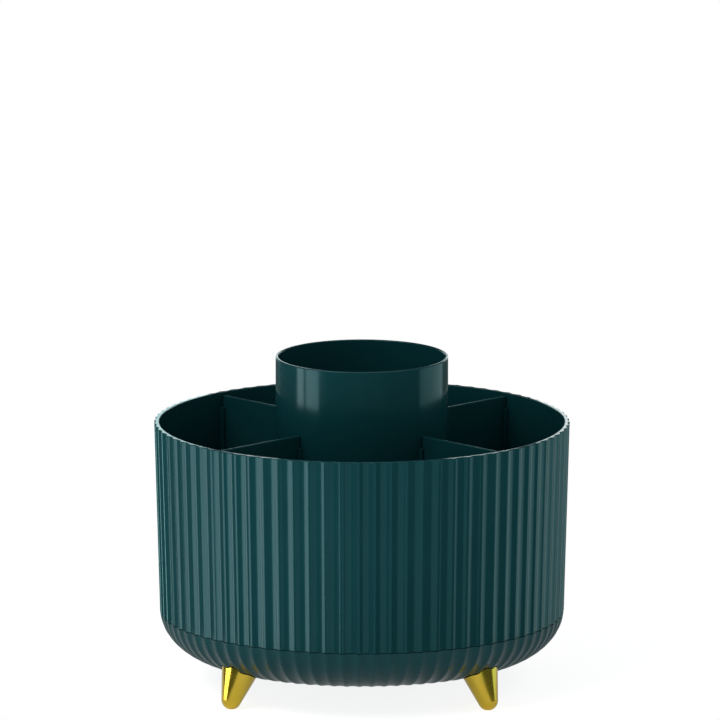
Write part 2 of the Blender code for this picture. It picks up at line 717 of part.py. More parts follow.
def make_pivot_bush(parts):
    """Flanged bush in the tub's floor that turns on the hub."""
    bore = HUB_RADIUS + RUNNING_GAP
    flange = BUSH_RADIUS + BUSH_FLANGE_WIDTH
    return turned("pivot_bush", [
        (bore, FLANGE_TOP),
        (flange, FLANGE_TOP),
        (flange, FLANGE_BOTTOM),
        (BUSH_RADIUS, FLANGE_BOTTOM),
        (BUSH_RADIUS, FLOOR_UNDERSIDE),
        (bore, FLOOR_UNDERSIDE),
    ], BUSH_STEPS, parts)


def make_pivot_washer(parts):
    """Washer that keeps the bush and the tub on the hub."""
    top = WASHER_BOTTOM + WASHER_THICKNESS
    return turned("pivot_washer", [
        (PIVOT_HOLE_RADIUS, top),
        (WASHER_RADIUS, top),
        (WASHER_RADIUS, WASHER_BOTTOM),
        (PIVOT_HOLE_RADIUS, WASHER_BOTTOM),
    ], BUSH_STEPS, parts)


def make_screws(parts, cutters):
    """Pivot screw, one screw in each post of the bowl and one up each leg's socket."""
    pivot = screw_mesh("pivot_screw", PIVOT_HEAD_RADIUS, PIVOT_HEAD_HEIGHT, PIVOT_SHANK_RADIUS,
                       PIVOT_SCREW_LENGTH, cutters)
    small = screw_mesh("small_screw", SMALL_HEAD_RADIUS, SMALL_HEAD_HEIGHT, SMALL_SHANK_RADIUS,
                       SMALL_SCREW_LENGTH, cutters)
    pivot_place = Matrix.Translation((0.0, 0.0, PIVOT_HEAD_BOTTOM))
    leg_lift = Matrix.Translation((0.0, 0.0, BOSS_TOP + SEAT_GAP))
    leg_places = [leg_frame(angle) @ leg_lift for angle in corner_angles(LEG_COUNT)]
    screws = [new_object("pivot_screw", pivot, parts, pivot_place)]
    screws += placed_set("deck_screw", small, post_frames(DECK_TOP + SEAT_GAP), parts)
    screws += placed_set("leg_screw", small, leg_places, parts)
    return screws


def make_cup(parts, cutters):
    """Straight cup with a raised floor over the pivot and a pair of ribs beside each panel."""
    inner = CUP_RADIUS - CUP_WALL
    floor_top = CUP_FLOOR_UNDERSIDE + CUP_FLOOR
    cup = turned("centre_cup", [
        (0.0, floor_top),
        (inner, floor_top),
        (inner, CUP_RIM),
        (CUP_RADIUS, CUP_RIM),
        (CUP_RADIUS, CUP_BOTTOM),
        (inner, CUP_BOTTOM),
        (inner, CUP_FLOOR_UNDERSIDE),
        (0.0, CUP_FLOOR_UNDERSIDE),
    ], CUP_STEPS, parts)
    rib = flat_plate("cup_rib", [
        (CUP_RADIUS - WELD_DEPTH, CUP_BOTTOM),
        (CUP_RADIUS + RIB_DEPTH, CUP_BOTTOM),
        (CUP_RADIUS + RIB_DEPTH, RIB_TOP),
        (CUP_RADIUS - WELD_DEPTH, RIB_TOP),
    ], RIB_THICKNESS, cutters)
    ribs = new_object("cup_ribs", copies("cup_ribs", rib, pair_frames()), cutters)
    combine(cup, ribs, "UNION")
    return cup


def make_dividers(parts, cutters):
    """Four panels that slide down between the cup and the tub's wall."""
    inner = CUP_RADIUS + PANEL_END_GAP
    bottom = FLOOR_TOP + SEAT_GAP
    panel = flat_plate("divider", [
        (inner, bottom),
        (tub_inner_radius(bottom) - PANEL_END_GAP, bottom),
        (tub_inner_radius(DIVIDER_TOP) - PANEL_END_GAP, DIVIDER_TOP),
        (inner, DIVIDER_TOP),
    ], DIVIDER_THICKNESS, cutters)
    names = ("divider_back_right", "divider_back_left", "divider_front_left", "divider_front_right")
    dividers = []
    for name, angle in zip(names, corner_angles(DIVIDER_COUNT)):
        dividers.append(new_object(name, panel, parts, turn_about_z(angle)))
    return dividers


def paint(pieces, material):
    """Give a list of pieces one material."""
    for piece in pieces:
        shade_and_paint(piece, material)


def main():
    """Build the organizer."""
    clear_scene()
    parts = new_collection("rotating_makeup_organizer")
    cutters = new_collection("cutters")
    tub = make_tub(parts, cutters)
    bowl = make_base_bowl(parts, cutters)
    deck = make_base_deck(parts, cutters)
    legs = make_legs(parts, cutters)
    lower_race = make_race("lower_race", -1.0, parts)
    upper_race = make_race("upper_race", 1.0, parts)
    cage = make_ball_cage(parts, cutters)
    balls = make_balls(parts)
    bush = make_pivot_bush(parts)
    washer = make_pivot_washer(parts)
    screws = make_screws(parts, cutters)
    cup = make_cup(parts, cutters)
    dividers = make_dividers(parts, cutters)
    turning = new_empty("turning_axis", parts)
    rolling = new_empty("cage_axis", parts)
    for piece in [tub, upper_race, bush, cup] + dividers:
        piece.parent = turning
    for piece in [cage] + balls:
        piece.parent = rolling
    paint([tub, bowl, cup] + dividers, new_material("teal_plastic", TEAL, 0.22, 0.0))
    paint(legs, new_material("gold_plating", GOLD, 0.16, 1.0))
    paint([lower_race, upper_race] + balls, new_material("bearing_steel", STEEL, 0.25, 1.0))
    paint([washer] + screws, new_material("zinc_steel", ZINC, 0.35, 1.0))
    paint([cage, bush], new_material("natural_nylon", NYLON, 0.45, 0.0))
    paint([deck], new_material("charcoal_plastic", CHARCOAL, 0.50, 0.0))


main()
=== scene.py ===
"""Looks of a rotating makeup organizer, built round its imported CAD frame."""

import math

import bmesh
import bpy
from bpy.props import FloatProperty, FloatVectorProperty, IntProperty, PointerProperty
from mathutils import Matrix, Vector


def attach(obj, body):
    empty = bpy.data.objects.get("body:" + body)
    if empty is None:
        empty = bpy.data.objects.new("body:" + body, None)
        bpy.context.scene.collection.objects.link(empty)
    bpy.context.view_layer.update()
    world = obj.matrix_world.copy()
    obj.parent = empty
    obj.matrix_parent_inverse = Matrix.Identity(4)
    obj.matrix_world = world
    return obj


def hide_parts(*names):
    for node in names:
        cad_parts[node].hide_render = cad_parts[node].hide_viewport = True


bl_info = {
    "name": "Rotating makeup organizer",
    "version": (1, 0, 0),
    "blender": (4, 5, 0),
    "location": "3D View > Sidebar > Organizer",
    "description": "Builds the fine pieces, finishes and studio of a rotating makeup organizer",
    "category": "Object",
}

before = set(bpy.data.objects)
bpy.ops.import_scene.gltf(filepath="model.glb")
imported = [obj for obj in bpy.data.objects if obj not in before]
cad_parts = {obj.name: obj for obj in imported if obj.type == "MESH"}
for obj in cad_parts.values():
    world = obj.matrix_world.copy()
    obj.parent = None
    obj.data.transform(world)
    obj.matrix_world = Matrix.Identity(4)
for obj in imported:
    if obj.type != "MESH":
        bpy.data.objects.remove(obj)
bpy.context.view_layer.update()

FULL_TURN = 2.0 * math.pi
QUARTER_TURN = 0.5 * math.pi
CORNERS = ("back_right", "back_left", "front_left", "front_right")

# Tub and bowl skin, in metres, as in the frame.
RIM_RADIUS = 0.102
RIM_HEIGHT = 0.1307
WALL_DRAFT = math.radians(1.55)
SEAM_HEIGHT = 0.0356
SEAM_GAP = 0.0003
BOWL_SHOULDER_RISE = 0.0019
BOWL_FLANK_WIDTH = 0.0292
BOWL_BOTTOM_HEIGHT = 0.0137
FLUTE_FADE = math.radians(30.0)

# Walls, floors and the dust lip.
TUB_WALL = 0.0017
TUB_FLOOR = 0.0024
TUB_FLOOR_RISE = 0.0030
BOWL_WALL = 0.0020
BOWL_FLOOR = 0.0026
DECK_THICKNESS = 0.0026
LIP_THICKNESS = 0.0012
LIP_DROP = 0.0022

# Cup, panels and their guides.
CUP_RADIUS = 0.0423
CUP_WALL = 0.0015
CUP_FLOOR = 0.0020
CUP_RISE = 0.0325
CUP_RING_THICKNESS = 0.0012
CUP_RING_HEIGHT = 0.0030
DIVIDER_THICKNESS = 0.0016
DIVIDER_DROP = 0.0013
RIB_THICKNESS = 0.0012
RIB_DEPTH = 0.0022
RIB_DROP = 0.0060
FLOOR_RIB_HEIGHT = 0.0020
FLOOR_RIB_SETBACK = 0.0012

# Legs and their seats.
LEG_SEAT_TURN = math.radians(63.0)
LEG_TAPER = math.radians(15.0)
LEG_TIP_RADIUS = 0.0049
FOOT_FLAT_CUT = 0.0004
SPIGOT_RADIUS = 0.0035
SPIGOT_LENGTH = 0.0046
BOSS_RADIUS = 0.0065
BOSS_ROOF = 0.0014

# Bearing.
BALL_COUNT = 12
BALL_RADIUS = 0.0025
BALL_CIRCLE_RADIUS = 0.0580
RACE_WIDTH = 0.0090
RACE_FLOOR = 0.0008
RACE_RIM = 0.0016
CHANNEL_DEPTH = 0.0006
CAGE_WIDTH = 0.0095
CAGE_THICKNESS = 0.0012

# Pivot, screws and posts.
HUB_RADIUS = 0.0070
BUSH_WALL = 0.0026
BUSH_FLANGE_WIDTH = 0.0028
BUSH_FLANGE_THICKNESS = 0.0010
WASHER_RADIUS = 0.0110
WASHER_THICKNESS = 0.0010
PIVOT_SHANK_RADIUS = 0.0020
PIVOT_HEAD_RADIUS = 0.0045
PIVOT_HEAD_HEIGHT = 0.0020
SMALL_SHANK_RADIUS = 0.0013
SMALL_HEAD_RADIUS = 0.0028
SMALL_HEAD_HEIGHT = 0.0017
SMALL_SCREW_LENGTH = 0.0100
PIVOT_SCREW_LENGTH = 0.0130
SOCKET_WIDTH_SHARE = 0.45
SOCKET_DEPTH_SHARE = 0.6
POST_RADIUS = 0.0045
POST_CIRCLE_RADIUS = 0.0380
POST_COUNT = 4

# Gaps between neighbours.
SEAT_GAP = 0.0003
RUNNING_GAP = 0.00015
END_PLAY = 0.0002
PANEL_END_GAP = 0.0005
LIP_GAP = 0.0004
DECK_EDGE_GAP = 0.0006
HEAD_ROOM = 0.0010
SCREW_GAP = 0.0003
WELD_DEPTH = 0.0006
OVERRUN = 0.0020
MERGE_DISTANCE = 0.000002

# Fineness of the turned pieces.
COLUMNS_PER_FLUTE = 14
CROWDING = 0.5
FLANK_ROWS = 24
CAVITY_ROWS = 12
ROUNDING_STEPS = 4
LARGE_STEPS = 192
MEDIUM_STEPS = 96
SMALL_STEPS = 48
BALL_SEGMENTS = 32
BALL_RINGS = 20
TIP_ROWS = 9
GROOVE_POINTS = 12
WALL_ROWS = 6
HEX_SIDES = 6
SLIDE_STEPS = 40
SMOOTH_ANGLE = math.radians(35.0)

# Shares: of the flank from which a point of the bowl is skin, of the rim's rounding that is skin,
# and of the small rounding that a screw's head has.
SKIN_LEVEL = 0.96
SKIN_REACH = 1.1
HEAD_SOFTNESS = 1.5

# Heights that follow from the sizes above.
SHOULDER_HEIGHT = SEAM_HEIGHT + BOWL_SHOULDER_RISE
TUB_BOTTOM = SEAM_HEIGHT + 0.5 * SEAM_GAP
BOWL_TOP = SEAM_HEIGHT - 0.5 * SEAM_GAP
BOWL_INSIDE_FLOOR = BOWL_BOTTOM_HEIGHT + BOWL_FLOOR
FLOOR_UNDERSIDE = SEAM_HEIGHT + TUB_FLOOR_RISE
FLOOR_TOP = FLOOR_UNDERSIDE + TUB_FLOOR
UPPER_RACE_TOP = FLOOR_UNDERSIDE + CHANNEL_DEPTH - SEAT_GAP
BALL_CENTRE = UPPER_RACE_TOP - RACE_FLOOR - SEAT_GAP - BALL_RADIUS
LOWER_RACE_BOTTOM = BALL_CENTRE - BALL_RADIUS - SEAT_GAP - RACE_FLOOR
DECK_TOP = LOWER_RACE_BOTTOM - SEAT_GAP + CHANNEL_DEPTH
DECK_UNDERSIDE = DECK_TOP - DECK_THICKNESS
LIP_BOTTOM = SEAM_HEIGHT - LIP_DROP
FLANGE_BOTTOM = FLOOR_TOP + SEAT_GAP
FLANGE_TOP = FLANGE_BOTTOM + BUSH_FLANGE_THICKNESS
HUB_TOP = FLANGE_TOP + END_PLAY
WASHER_BOTTOM = HUB_TOP + SEAT_GAP
PIVOT_HEAD_BOTTOM = WASHER_BOTTOM + WASHER_THICKNESS + SEAT_GAP
CUP_BOTTOM = FLOOR_TOP + SEAT_GAP
CUP_FLOOR_UNDERSIDE = PIVOT_HEAD_BOTTOM + PIVOT_HEAD_HEIGHT + HEAD_ROOM
CUP_RIM = RIM_HEIGHT + CUP_RISE
DIVIDER_TOP = RIM_HEIGHT - DIVIDER_DROP
RIB_TOP = DIVIDER_TOP - RIB_DROP

# Radii and angles that follow.
RACE_INNER = BALL_CIRCLE_RADIUS - 0.5 * RACE_WIDTH
RACE_OUTER = BALL_CIRCLE_RADIUS + 0.5 * RACE_WIDTH
CHANNEL_INNER = RACE_INNER - SEAT_GAP
CHANNEL_OUTER = RACE_OUTER + SEAT_GAP
CUP_INNER_RADIUS = CUP_RADIUS - CUP_WALL
SHOULDER_RADIUS = RIM_RADIUS - (RIM_HEIGHT - SHOULDER_HEIGHT) * math.tan(WALL_DRAFT)
BOWL_FLAT_RADIUS = SHOULDER_RADIUS - BOWL_FLANK_WIDTH
FLANK_DROP = SHOULDER_HEIGHT - BOWL_BOTTOM_HEIGHT
BUSH_RADIUS = HUB_RADIUS + RUNNING_GAP + BUSH_WALL
SMALL_HOLE_RADIUS = SMALL_SHANK_RADIUS + SCREW_GAP
PIVOT_HOLE_RADIUS = PIVOT_SHANK_RADIUS + SCREW_GAP
SEAT_RADIUS = BOWL_FLAT_RADIUS + BOWL_FLANK_WIDTH * math.cos(LEG_SEAT_TURN)
SEAT_HEIGHT = SHOULDER_HEIGHT - FLANK_DROP * math.sin(LEG_SEAT_TURN)
LEG_LEAN = math.atan2(math.cos(LEG_SEAT_TURN) / BOWL_FLANK_WIDTH,
                      math.sin(LEG_SEAT_TURN) / FLANK_DROP)
LEG_REACH = (SEAT_HEIGHT - LEG_TIP_RADIUS + FOOT_FLAT_CUT) / math.cos(LEG_LEAN)
BOSS_TOP = SPIGOT_LENGTH + SEAT_GAP + BOSS_ROOF

# Camera, fitted to the rims, the seam and the leg tips.
CAMERA_LENS = 530.34
CAMERA_SENSOR = 36.0
CAMERA_DISTANCE = 5.199
CAMERA_AZIMUTH = math.radians(1.0)
CAMERA_ELEVATION = math.radians(11.142)
CAMERA_SHIFT_RIGHT = -0.00092
CAMERA_TARGET_HEIGHT = 0.16102
CAMERA_CLIP_START = 0.1
CAMERA_CLIP_END = 50.0

# Studio.
STUDIO_RADIUS = 1.2
DARK_WALL_RADIUS = 1.5
DARK_WALL_LOW = -1.3
DARK_WALL_HIGH = 2.60
DARK_WALL_COLOUR = (0.01, 0.01, 0.01, 1.0)
DARK_WALL_GLOW = 0.08
DARK_WALL_GLOW_COLOUR = (0.8, 1.0, 1.0, 1.0)
FLOOR_RADIUS = 0.19
FLOOR_ROUGHNESS = 0.9
FLOOR_LIFT = 0.86
FLOOR_LIFT_IN_GLOSS = 0.27
LIGHT_BELOW = 0.68
LIGHT_OVERHEAD = 0.08
LIGHT_FADE = (-0.3, 0.6)
OVERHEAD_HEIGHT = 1.5
OVERHEAD_SIZE = 1.2
OVERHEAD_RADIANCE = 0.12
NEUTRAL = (1.0, 1.0, 1.0)
PALE = (0.90, 1.0, 1.0)
COOL = (0.72, 1.0, 1.0)
TEAL = (0.48, 1.0, 1.0)

# Upright lamps: first and last azimuth in degrees from the front towards the right,
# then the heights of the lower and upper edge, the radiance and the colour.
LAMPS = {
    "key_softbox_rear": (-94.0, -82.0, -0.55, 0.14, 2.65, NEUTRAL),
    "key_softbox_front": (-78.5, -58.0, -0.55, 0.14, 2.5, NEUTRAL),
    "key_low_edge": (-58.0, -50.0, -0.55, -0.13, 2.4, NEUTRAL),
    "left_rear_softbox": (-178.0, -142.0, -0.50, -0.115, 1.7, TEAL),
    "right_side_softbox": (84.0, 136.0, -0.50, 0.14, 0.72, COOL),
    "front_left_fill": (-50.0, -12.0, -0.50, -0.13, 0.10, COOL),
    "front_fill": (-12.0, 30.0, -0.50, -0.13, 0.50, COOL),
    "left_top_softbox": (-85.0, -25.0, 0.95, 2.20, 2.4, NEUTRAL),
    "right_top_softbox": (30.0, 100.0, 1.10, 1.90, 0.8, NEUTRAL),
}

# Small cards behind the object, which its rims mirror towards the camera: the places of the
# left and right edge, then the same as for the lamps.
CARD_DISTANCE = 0.30
CARDS = {
    "left_rim_card": (-0.30, -0.085, 0.13, 0.21, 2.05, COOL),
    "right_rim_card": (0.086, 0.30, 0.13, 0.21, 2.2, PALE),
    "left_cup_card": (-0.075, -0.031, 0.212, 0.27, 2.7, PALE),
    "right_cup_card": (0.036, 0.075, 0.212, 0.27, 2.4, PALE),
}

# Values that all finishes share. A range is a noise's or a direction's, levels are what it becomes.
WHITE = (1.0, 1.0, 1.0, 1.0)
DUST_COLOUR = (0.55, 0.54, 0.52, 1.0)
CLEAR_COAT_ROUGHNESS = 0.04
BUMP_STRENGTH = 0.25
BUMP_DISTANCE = 0.0001
DRIFT_GAIN = 4.0
MID_NOISE = 0.5
RING_SCALE = 9000.0
SMUDGE_RANGE = (0.42, 0.70)
EDGE_RANGE = (0.515, 0.60)
BREAK_RANGE = (0.3, 0.7)
BREAK_LEVELS = (0.45, 1.0)
SPECK_RANGE = (0.45, 0.62)
SPECK_LEVELS = (0.2, 1.0)
UPWARD_RANGE = (0.6, 1.0)
FULL_LEVELS = (0.0, 1.0)

# Places of the colours among a mix node's sockets.
MIX_FIRST = 6
MIX_SECOND = 7
MIX_RESULT = 2

# Values of each finish, and those of a plain one.
PLAIN_FINISH = {"metallic": 0.0, "ior": 1.5, "tint": WHITE, "coat": 0.0, "marks": 0.0, "dust": 0.0}
FINISHES = {
    "teal_plastic": {
        "worn": "teal_worn", "ior": 1.45, "tint": (0.50, 0.95, 1.0, 1.0),
        "roughness": 0.13, "spread": 0.05, "variation": 0.05, "patch": 38.0,
        "grain": 420.0, "grain_height": 0.12, "wear": 0.35, "dust": 0.012,
    },
    "gold_plating": {
        "worn": "gold_worn", "metallic": 1.0, "coat": 0.8,
        "roughness": 0.13, "spread": 0.06, "variation": 0.05, "patch": 90.0,
        "grain": 900.0, "grain_height": 0.06, "wear": 0.25, "dust": 0.01,
    },
    "bearing_steel": {
        "worn": "steel_worn", "metallic": 1.0,
        "roughness": 0.20, "spread": 0.10, "variation": 0.06, "patch": 120.0,
        "grain": 1500.0, "grain_height": 0.10, "marks": 0.5, "wear": 0.4,
    },
    "zinc_steel": {
        "worn": "zinc_worn", "metallic": 1.0,
        "roughness": 0.30, "spread": 0.14, "variation": 0.10, "patch": 260.0,
        "grain": 1800.0, "grain_height": 0.30, "marks": 0.3, "wear": 0.5,
    },
    "natural_nylon": {
        "worn": "nylon_worn", "ior": 1.53,
        "roughness": 0.40, "spread": 0.12, "variation": 0.05, "patch": 150.0,
        "grain": 1200.0, "grain_height": 0.35, "wear": 0.3,
    },
    "charcoal_plastic": {
        "worn": "charcoal_worn",
        "roughness": 0.45, "spread": 0.12, "variation": 0.10, "patch": 60.0,
        "grain": 1600.0, "grain_height": 0.60, "wear": 0.4, "dust": 0.03,
    },
}


def length_property(name, description, default):
    """Property of a small length."""
    return FloatProperty(name=name, description=description, default=default,
                         unit="LENGTH", subtype="DISTANCE", precision=5)


def colour_property(name, description, default):
    """Property of an opaque colour, with linear values."""
    return FloatVectorProperty(name=name, description=description, default=(*default, 1.0),
                               size=4, min=0.0, max=1.0, subtype="COLOR")


class OrganizerSizes(bpy.types.PropertyGroup):
    """Sizes of the flutes and of the rounded edges."""
    flute_count: IntProperty(
        name="Flutes", description="Number of scoops round the tub and the bowl",
        default=80, min=8)
    flute_depth: length_property("Flute depth", "Depth of a scoop at the rim", 0.0009)
    scoop_share: FloatProperty(
        name="Scoop share", description="Part of each flute that is scooped out",
        default=0.85, min=0.1, max=1.0, subtype="FACTOR")
    crest_softness: length_property("Crest softness", "Softening where a scoop meets its crest", 0.00012)
    rim_rounding: length_property("Rim rounding", "Rounding of the tub's rim", 0.00040)
    seam_rounding: length_property("Seam rounding", "Rounding of both edges at the seam", 0.00020)
    cup_rounding: length_property("Cup rounding", "Rounding of the cup's rim", 0.00055)
    panel_rounding: length_property("Panel rounding", "Rounding of the lift-out panels", 0.00070)
    guide_rounding: length_property("Guide rounding", "Rounding of the panels' guide ribs", 0.00030)
    small_rounding: length_property("Small rounding", "Rounding of the bearing and screw edges", 0.00020)
    floor_fillet: length_property("Floor fillet", "Fillet where a wall meets its floor", 0.0008)
    leg_gap: length_property("Leg gap", "Shadow gap between a leg and the bowl", 0.00030)


class OrganizerColours(bpy.types.PropertyGroup):
    """Colours of the finishes."""
    teal_plastic: colour_property("Teal plastic", "Tub, bowl, cup and panels", (0.0060, 0.0640, 0.0740))
    teal_worn: colour_property("Teal edges", "Handled edges of the teal plastic", (0.020, 0.105, 0.118))
    gold_plating: colour_property("Gold plating", "Legs", (0.92, 0.64, 0.030))
    gold_worn: colour_property("Gold edges", "Handled edges of the gold", (0.86, 0.66, 0.12))
    bearing_steel: colour_property("Bearing steel", "Races and balls", (0.56, 0.57, 0.59))
    steel_worn: colour_property("Steel edges", "Rubbed steel edges", (0.72, 0.72, 0.74))
    zinc_steel: colour_property("Zinc", "Screws and washer", (0.62, 0.64, 0.68))
    zinc_worn: colour_property("Zinc edges", "Rubbed zinc edges", (0.74, 0.74, 0.75))
    natural_nylon: colour_property("Nylon", "Cage and bush", (0.76, 0.74, 0.68))
    nylon_worn: colour_property("Nylon edges", "Rubbed nylon edges", (0.82, 0.80, 0.75))
    charcoal_plastic: colour_property("Charcoal plastic", "Deck", (0.020, 0.029, 0.031))
    charcoal_worn: colour_property("Charcoal edges", "Rubbed deck edges", (0.05, 0.06, 0.063))
    floor: colour_property("Floor", "Studio floor", (0.80, 0.80, 0.80))


def sizes():
    """Sizes that the user can change."""
    return bpy.context.scene.organizer_sizes


def colours():
    """Colours that the user can change."""
    return bpy.context.scene.organizer_colours


def turn_about_z(angle):
    """Rotation about the organizer's axis."""
    return Matrix.Rotation(angle, 4, "Z")


def lifted(height):
    """Shift along the organizer's axis."""
    return Matrix.Translation((0.0, 0.0, height))


def spread(first, last, steps):
    """Evenly spaced values from the first to the last."""
    return [first + (last - first) * index / steps for index in range(steps + 1)]


def corner_angles():
    """Angles of the four diagonals, starting behind the right side."""
    return [0.5 * QUARTER_TURN + index * QUARTER_TURN for index in range(len(CORNERS))]


def wall_radius(height):
    """Radius on the flute crests of the drafted outer wall."""
    return RIM_RADIUS - (RIM_HEIGHT - height) * math.tan(WALL_DRAFT)


def tub_inner_radius(height):
    """Radius of the tub's smooth inner wall."""
    return wall_radius(height) - sizes().flute_depth - TUB_WALL


def cavity_width():
    """Width of the rounded flank on the bowl's inside."""
    return BOWL_FLANK_WIDTH - sizes().flute_depth - BOWL_WALL


def bowl_inner_radius(height):
    """Radius of the bowl's smooth inside."""
    drop_share = (SHOULDER_HEIGHT - height) / (SHOULDER_HEIGHT - BOWL_INSIDE_FLOOR)
    return BOWL_FLAT_RADIUS + cavity_width() * math.sqrt(1.0 - drop_share ** 2)


def flank_turn(height):
    """Turn along the rounded flank, from zero at the shoulder to a quarter turn below."""
    drop_share = (SHOULDER_HEIGHT - height) / FLANK_DROP
    return math.asin(max(0.0, min(1.0, drop_share)))


def flank_normal(turn):
    """Outward direction of the rounded flank at a turn, as radius and height."""
    return Vector((math.cos(turn) / BOWL_FLANK_WIDTH, -math.sin(turn) / FLANK_DROP)).normalized()


def scoop_depth(angle):
    """Depth of a scoop at an angle about the axis, softened at its crests."""
    share = (angle * sizes().flute_count / FULL_TURN) % 1.0
    across = (share - 0.5) / (0.5 * sizes().scoop_share)
    raw = sizes().flute_depth * (1.0 - across ** 2)
    return 0.5 * (raw + math.hypot(raw, sizes().crest_softness))


def skin_offset(point):
    """Distance of a point outside the fluted skin of the bowl, negative inside it."""
    radius = math.hypot(point.x, point.y)
    across = (radius - BOWL_FLAT_RADIUS) / BOWL_FLANK_WIDTH
    down = (SHOULDER_HEIGHT - point.z) / FLANK_DROP
    level = math.hypot(across, down)
    slope = math.hypot(across / BOWL_FLANK_WIDTH, down / FLANK_DROP) / level
    fade = min(1.0, (QUARTER_TURN - math.atan2(down, across)) / FLUTE_FADE)
    depth = scoop_depth(math.atan2(point.y, point.x)) * max(0.0, fade) * radius / RIM_RADIUS
    return (level - 1.0) / slope + depth


def turned(corners, steps, sectors=1):
    """Turn a closed profile about Z. A corner is a radius and a height, and a rounding if it is round."""
    bm = bmesh.new()
    by_rounding = {}
    for radius, height, *rounding in corners:
        point = bm.verts.new((radius, 0.0, height))
        if rounding:
            by_rounding.setdefault(rounding[0], []).append(point)
    bm.faces.new(list(bm.verts))
    for rounding, rounded in by_rounding.items():
        if rounding > 0.0:
            bmesh.ops.bevel(bm, geom=rounded, offset=rounding, offset_type="OFFSET",
                            segments=ROUNDING_STEPS, profile=0.5, affect="VERTICES", material=-1)
    bmesh.ops.delete(bm, geom=list(bm.faces), context="FACES_ONLY")
    on_axis = [edge for edge in bm.edges
               if all(abs(vert.co.x) < MERGE_DISTANCE for vert in edge.verts)]
    bmesh.ops.delete(bm, geom=on_axis, context="EDGES")
    sector = FULL_TURN / sectors
    bmesh.ops.spin(bm, geom=list(bm.verts) + list(bm.edges), axis=(0.0, 0.0, 1.0), angle=sector,
                   steps=steps, use_merge=sectors == 1)
    if sectors > 1:
        bm = copies(bm, [turn_about_z(index * sector) for index in range(sectors)])
    bmesh.ops.remove_doubles(bm, verts=bm.verts, dist=MERGE_DISTANCE)
    bmesh.ops.recalc_face_normals(bm, faces=bm.faces)
    return bm


def crowd_columns(bm):
    """Move the columns of a turned piece closer together at the flutes' crests."""
    count = sizes().flute_count
    for vert in bm.verts:
        radius = math.hypot(vert.co.x, vert.co.y)
        share = math.atan2(vert.co.y, vert.co.x) * count / FULL_TURN
        moved = share - CROWDING * math.sin(FULL_TURN * share) / FULL_TURN
        angle = moved * FULL_TURN / count
        vert.co.x = radius * math.cos(angle)
        vert.co.y = radius * math.sin(angle)


def sink_flutes(bm, is_skin):
    """Sink the scoops into the skin, square to its profile and narrower with its radius."""
    for vert in bm.verts:
        radius = math.hypot(vert.co.x, vert.co.y)
        if not is_skin(radius, vert.co.z):
            continue
        angle = math.atan2(vert.co.y, vert.co.x)
        turn = flank_turn(vert.co.z)
        fade = min(1.0, (QUARTER_TURN - turn) / FLUTE_FADE)
        depth = scoop_depth(angle) * fade * radius / RIM_RADIUS
        normal = flank_normal(turn)
        vert.co.x -= depth * normal.x * math.cos(angle)
        vert.co.y -= depth * normal.x * math.sin(angle)
        vert.co.z -= depth * normal.y


def plate(outline, thickness, rounding):
    """Extrude an outline of (radius, height) points to a rounded plate on the X axis."""
    bm = bmesh.new()
    points = [bm.verts.new((radius, -0.5 * thickness, height)) for radius, height in outline]
    face = bm.faces.new(points)
    grown = bmesh.ops.extrude_face_region(bm, geom=[face])["geom"]
    moved = [item for item in grown if isinstance(item, bmesh.types.BMVert)]
    bmesh.ops.translate(bm, verts=moved, vec=(0.0, thickness, 0.0))
    bmesh.ops.bevel(bm, geom=list(bm.edges), offset=rounding, offset_type="OFFSET",
                    segments=ROUNDING_STEPS, profile=0.5, affect="EDGES", material=-1)
    bmesh.ops.recalc_face_normals(bm, faces=bm.faces)
    return bm


def bar(radius, low, high, steps, closed=True):
    """Round bar about Z between two heights, or an open tube."""
    bm = bmesh.new()
    bmesh.ops.create_cone(bm, cap_ends=closed, segments=steps, radius1=radius, radius2=radius,
                          depth=high - low, matrix=lifted(0.5 * (low + high)))
    return bm


def flat_ring(inner, outer, low, high, steps):
    """Turned ring of rectangular section with small roundings."""
    small = sizes().small_rounding
    return turned([(radius, height, small) for radius, height in (
        (inner, high), (outer, high), (outer, low), (inner, low))], steps)


def copies(shape, frames):
    """Gather placed copies of a shape in one bmesh, and free the shape."""
    mesh = bpy.data.meshes.new("copy")
    shape.to_mesh(mesh)
    shape.free()
    bm = bmesh.new()
    for place in frames:
        placed = mesh.copy()
        placed.transform(place)
        bm.from_mesh(placed)
        bpy.data.meshes.remove(placed)
    bpy.data.meshes.remove(mesh)
    return bm


def new_object(name, data):
    """Object in the scene with its data."""
    made = bpy.data.objects.new(name, data)
    bpy.context.scene.collection.objects.link(made)
    return made


def mesh_object(name, bm):
    """Object in the scene that takes a shape as its mesh, and free the shape."""
    mesh = bpy.data.meshes.new(name)
    bm.to_mesh(mesh)
    bm.free()
    return new_object(name, mesh)


def combined(bm, steps):
    """Apply Booleans to a shape. A step is an operation and the other shape."""
    objects = [mesh_object("scratch", bm)]
    for operation, other in steps:
        objects.append(mesh_object("scratch", other))
        modifier = objects[0].modifiers.new(operation, "BOOLEAN")
        modifier.operation = operation
        modifier.solver = "EXACT"
        modifier.object = objects[-1]
    result = bmesh.new()
    result.from_object(objects[0], bpy.context.evaluated_depsgraph_get())
    for used in objects:
        mesh = used.data
        bpy.data.objects.remove(used, do_unlink=True)
        bpy.data.meshes.remove(mesh)
    return result


def add_piece(name, bm, body, slot, *replaced):
    """Make a finished piece that rides on a body and stands for CAD nodes."""
    piece = mesh_object(name, bm)
    piece.data.shade_smooth()
    piece.data.set_sharp_from_angle(angle=SMOOTH_ANGLE)
    piece.data.materials.append(finish(slot))
    even = piece.modifiers.new("even_shading", "WEIGHTED_NORMAL")
    even.keep_sharp = True
    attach(piece, body)
    if replaced:
        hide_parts(*replaced)


